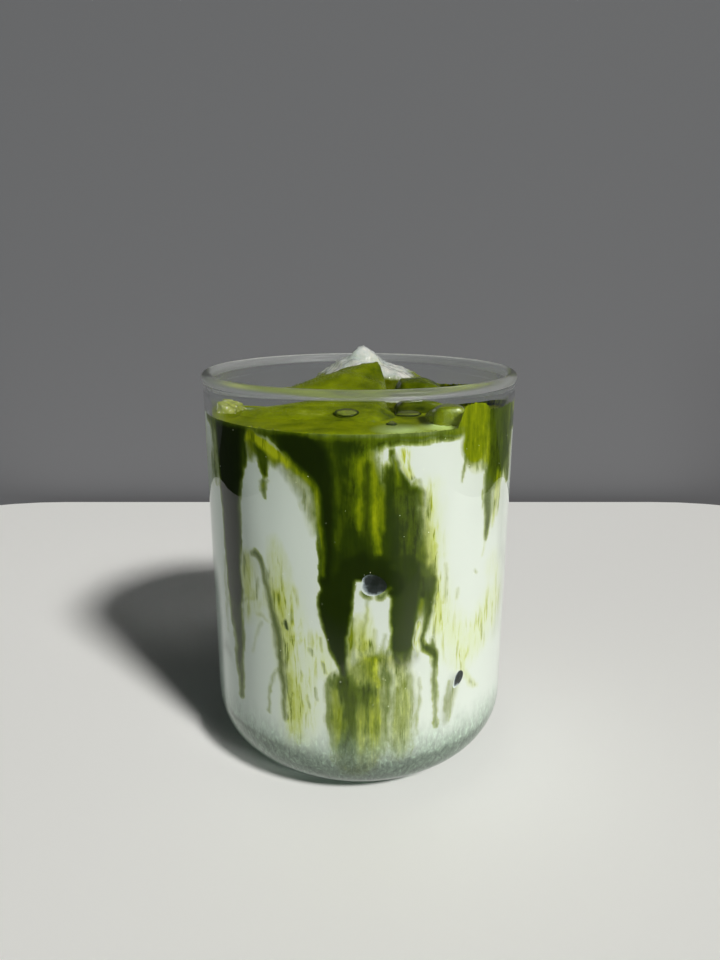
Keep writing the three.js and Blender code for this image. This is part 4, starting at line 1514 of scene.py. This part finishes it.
def scatter_tree():
    """Geometry Nodes that scatter small balls of random size over a patch."""
    tree = bpy.data.node_groups.get("Scatter")
    if tree:
        return tree
    inputs = (
        ("Patch", "NodeSocketGeometry"), ("Density", "NodeSocketFloat", 1.0), ("Seed", "NodeSocketInt", 0),
        ("Smallest", "NodeSocketFloat", 0.1 * MM), ("Largest", "NodeSocketFloat", 0.3 * MM),
    )
    tree, given = new_tree("Scatter", inputs)
    new, join = tree.nodes.new, tree.links.new
    spread = new("GeometryNodeDistributePointsOnFaces")
    ball = new("GeometryNodeMeshIcoSphere")
    set_sockets(ball, Radius=1.0, Subdivisions=3)
    smooth = new("GeometryNodeSetShadeSmooth")
    size = new("FunctionNodeRandomValue")
    placed = new("GeometryNodeInstanceOnPoints")
    join(given.outputs["Patch"], spread.inputs["Mesh"])
    join(given.outputs["Density"], spread.inputs["Density"])
    join(given.outputs["Seed"], spread.inputs["Seed"])
    join(given.outputs["Seed"], size.inputs["Seed"])
    join(given.outputs["Smallest"], size.inputs[2])
    join(given.outputs["Largest"], size.inputs[3])
    join(spread.outputs["Points"], placed.inputs["Points"])
    join(ball.outputs["Mesh"], smooth.inputs["Geometry"])
    join(smooth.outputs["Geometry"], placed.inputs["Instance"])
    join(size.outputs[1], placed.inputs["Scale"])
    return finish_tree(tree, given, placed.outputs["Instances"])


def wall_patch(radius, low, high, inner=None):
    """Faces of a band round the axis; with an inner radius, a flat ring at its height."""
    turns = np.radians(np.arange(-180, 181, 3.0))
    inner = radius if inner is None else inner
    points = [(inner * math.sin(t), -inner * math.cos(t), low) for t in turns]
    points += [(radius * math.sin(t), -radius * math.cos(t), high) for t in turns]
    count = len(turns)
    return points, [(i, i + 1, count + i + 1, count + i) for i in range(count - 1)]


def scattered(name, patch, seed, density, smallest, largest, material):
    made = merged_piece(name, [patch], material)
    modifier = made.modifiers.new("Scatter", "NODES")
    modifier.node_group = scatter_tree()
    set_inputs(modifier, Density=density, Smallest=smallest, Largest=largest, Seed=seed, Material=material)
    return apply_modifiers(made)


# Seed, number in a square metre, and smallest and largest radius of the froth and of the specks
FROTH = (11, 0.35e6, 0.08 * MM, 0.3 * MM)
SPECKS = (23, 0.012e6, 0.05 * MM, 0.12 * MM)

# The ring of froth: from and to how far from the wall, and how far above the level; then where the specks
# are
FROTH_FROM, FROTH_TO, FROTH_ABOVE = 0.3 * MM, 1.6 * MM, 0.35 * MM
SPECKS_LOW, SPECKS_INTO_WALL = 20 * MM, 0.12 * MM


class LATTE_OT_froth(bpy.types.Operator):
    """Makes the fine froth round the surface and the specks on the inside of the wall."""

    bl_idname = "latte.froth"
    bl_label = "Froth"

    def execute(self, context):
        radius, level = context.scene.latte_tumbler.inside_radius, context.scene.latte_drink.level
        height = level + FROTH_ABOVE
        rim = wall_patch(radius - FROTH_FROM, height, height, radius - FROTH_TO)
        dress(scattered("froth", rim, *FROTH, film_material(context.scene.latte_drink)), "matcha")
        wall = wall_patch(radius + SPECKS_INTO_WALL, SPECKS_LOW, level)
        white = plain_material("speck", srgb(226, 230, 214), 0.3)
        dress(scattered("specks", wall, *SPECKS, white), "milk")
        return {"FINISHED"}


# The matcha that clings to the wall above the level: [angle, height of its upper edge]
CLINGING = (
    (33, 91.5), (35.5, 94.5), (37, 97.2), (42, 97.8), (47, 97.2), (50, 95.6), (58, 95.2), (66, 95.6),
    (75, 95), (90, 95.4), (105, 95.8), (120, 95), (135, 94), (150, 93.4), (165, 91.5),
)
CLINGING_DEPTH, CLINGING_BELOW = 0.12 * MM, 0.6 * MM


def clinging_mesh(name, radius, level):
    """A thin sheet on the wall from just below the level up to a ragged edge."""
    turns = np.arange(CLINGING[0][0], CLINGING[-1][0] + 0.01, 0.4)
    tops = np.interp(turns, *np.array(CLINGING).T)
    rows, rings = 14, []
    for turn, top in zip(turns, tops):
        ragged = top + 0.5 * noise.noise(Vector((0.9 * turn, 0.0, 4.0)))
        ragged += 0.3 * noise.noise(Vector((3.1 * turn, 2.0, 0.0)))
        low, high = level - CLINGING_BELOW, max(level, ragged * MM)
        x, y = math.sin(math.radians(turn)), -math.cos(math.radians(turn))
        heights = [low + (high - low) * row / rows for row in range(rows + 1)]
        ring = [(radius * x, radius * y, z) for z in heights]
        inside = radius - CLINGING_DEPTH
        rings.append([*ring, *[(inside * x, inside * y, z) for z in reversed(heights)]])
    return tube_mesh(name, rings, turned=True)


class LATTE_OT_clinging(bpy.types.Operator):
    """Makes the sheet of matcha that clings to the wall above the level."""

    bl_idname = "latte.clinging"
    bl_label = "Clinging matcha"

    def execute(self, context):
        drink = context.scene.latte_drink
        radius = context.scene.latte_tumbler.inside_radius + drink.into_wall
        made = add_object("clinging", clinging_mesh("clinging", radius, drink.level))
        paint(made.data)
        made.data.materials.append(drink_material("clinging_matcha", drink))
        smooth_shaded(made.data)
        dress(made, "matcha")
        return {"FINISHED"}


# Stage


# The camera was fitted to the rim and the base: its place, its pitch down and its focal length in pixels of
# a frame that is 960 pixels high.
CAMERA_PLACE = (0.0002, -0.1884, 0.1241)
CAMERA_PITCH = 15.53
FOCAL_PIXELS = 721.0
FRAME_PIXELS = 960.0

# The floor's edges, the line from which it is free of painted shade and the bend of its far corners, then
# what lies beyond it
FLOOR_FRONT, FLOOR_LIT, FLOOR_BACK = -0.145, -0.085, 0.2105
FLOOR_SIDE, FLOOR_BEND = 0.28, 0.11
FAR_SIDE, FAR_LOW, FAR_HIGH, FAR_GAP = 2, -0.02, 1.4, 0.01
# The dark of the painted shade on the floor's front and of the sheet that stands in for shade beyond it
DARK = (0.02, 0.02, 0.02)

# Where the lights come from and their colours
KEY_FROM, KEY_SHADE = Vector((0.50, -0.56, 0.66)), (1.0, 0.99, 0.96)
SIDE_FROM, SIDE_SHADE, SIDE_SIZE = Vector((-0.75, -0.62, 0.0)), (0.86, 1.0, 0.95), math.radians(12)
FILL_SHADE = (0.86, 0.93, 1.0)


def floor_material(shade):
    """The floor, darkened by painted shade towards the front, in front of the camera."""
    material, tree, shader = new_material("floor")
    lit = ranged(tree, axis_of(tree, object_place(tree), "Y"), FLOOR_FRONT, FLOOR_LIT, smooth=True)
    tree.links.new(blended(tree, lit, DARK, tuple(shade)), shader.inputs["Base Color"])
    set_sockets(shader, Roughness=0.45, Specular_IOR_Level=0.3)
    return material


def sheet(name, corners, material):
    mesh = bpy.data.meshes.new(name)
    mesh.from_pydata(corners, [], [tuple(range(len(corners)))])
    mesh.materials.append(material)
    made = add_object(name, mesh)
    return made


def distant_light(name, source, power, angle, shade):
    light = bpy.data.lights.new(name, "SUN")
    light.energy = power
    light.angle = angle
    light.color = shade
    made = add_object(name, light)
    made.rotation_mode = "QUATERNION"
    made.rotation_quaternion = source.to_track_quat("Z", "Y")
    return made


class LATTE_OT_stage(bpy.types.Operator):
    """Makes the pale floor, the backdrop, the light and the camera."""

    bl_idname = "latte.stage"
    bl_label = "Stage"

    def execute(self, context):
        stage, scene = context.scene.latte_stage, context.scene
        across, along = FLOOR_SIDE - FLOOR_BEND, FLOOR_BACK - FLOOR_BEND
        edge = [
            (-FLOOR_SIDE, FLOOR_FRONT),
            (FLOOR_SIDE, FLOOR_FRONT),
            *arc((across, along), FLOOR_BEND, 0, 90, 12),
            *arc((-across, along), FLOOR_BEND, 90, 180, 12),
        ]
        sheet("floor", [(x, y, 0) for x, y in edge], floor_material(stage.floor))
        ends = ((-FAR_SIDE, -FAR_SIDE), (FAR_SIDE, -FAR_SIDE), (FAR_SIDE, FAR_SIDE), (-FAR_SIDE, FAR_SIDE))
        # A dark sheet beyond the floor: painted shade of the room round the table
        sheet("painted_shade_floor", [(x, y, FAR_LOW) for x, y in ends], plain_material("painted_shade_floor", DARK, 0.8))
        ends = ((-FAR_SIDE, FAR_LOW), (FAR_SIDE, FAR_LOW), (FAR_SIDE, FAR_HIGH), (-FAR_SIDE, FAR_HIGH))
        back = [(x, FLOOR_BACK + FAR_GAP, z) for x, z in ends]
        behind = sheet("backdrop", back, plain_material("backdrop", stage.backdrop, 0.8))
        behind.visible_diffuse = False
        distant_light("key", KEY_FROM, stage.key_power, stage.key_size, KEY_SHADE)
        side = distant_light("side", SIDE_FROM, stage.side_power, SIDE_SIZE, SIDE_SHADE)
        side.visible_glossy = False
        side.visible_transmission = False
        world = bpy.data.worlds.new("fill")
        world.use_nodes = True
        set_sockets(world.node_tree.nodes["Background"], Color=colour(FILL_SHADE), Strength=stage.fill)
        scene.world = world
        scene.view_settings.view_transform = "Standard"
        lens = bpy.data.cameras.new("camera")
        lens.sensor_width = 36.0
        lens.lens = FOCAL_PIXELS / FRAME_PIXELS * lens.sensor_width
        lens.clip_start = 0.005
        camera = add_object("camera", lens)
        camera.location = CAMERA_PLACE
        camera.rotation_euler = (math.radians(90 - CAMERA_PITCH), 0, 0)
        scene.camera = camera
        return {"FINISHED"}


class LATTE_PT_panel(bpy.types.Panel):
    """Lists the pieces of the latte."""

    bl_label = "Latte"
    bl_idname = "LATTE_PT_panel"
    bl_space_type = "VIEW_3D"
    bl_region_type = "UI"
    bl_category = "Latte"

    def draw(self, context):
        for operator in OPERATORS:
            self.layout.operator(operator.bl_idname)


SETTINGS = {
    "latte_tumbler": TumblerSettings,
    "latte_drink": DrinkSettings,
    "latte_ice": IceSettings,
    "latte_stage": StageSettings,
}
OPERATORS = (
    LATTE_OT_stage,
    LATTE_OT_tumbler,
    LATTE_OT_milk,
    LATTE_OT_matcha,
    LATTE_OT_ice,
    LATTE_OT_sunken_ice,
    LATTE_OT_bubbles,
    LATTE_OT_froth,
    LATTE_OT_clinging,
)
CLASSES = (*SETTINGS.values(), *OPERATORS, LATTE_PT_panel)


def register():
    for cls in CLASSES:
        bpy.utils.register_class(cls)
    for name, group in SETTINGS.items():
        setattr(bpy.types.Scene, name, PointerProperty(type=group))


def unregister():
    for name in SETTINGS:
        delattr(bpy.types.Scene, name)
    for cls in reversed(CLASSES):
        bpy.utils.unregister_class(cls)


def main():
    register()
    bpy.ops.latte.stage()
    bpy.ops.latte.tumbler()
    bpy.ops.latte.milk()
    bpy.ops.latte.matcha()
    bpy.ops.latte.ice()
    bpy.ops.latte.sunken_ice()
    bpy.ops.latte.bubbles()
    bpy.ops.latte.froth()
    bpy.ops.latte.clinging()


if __name__ == "__main__":
    main()
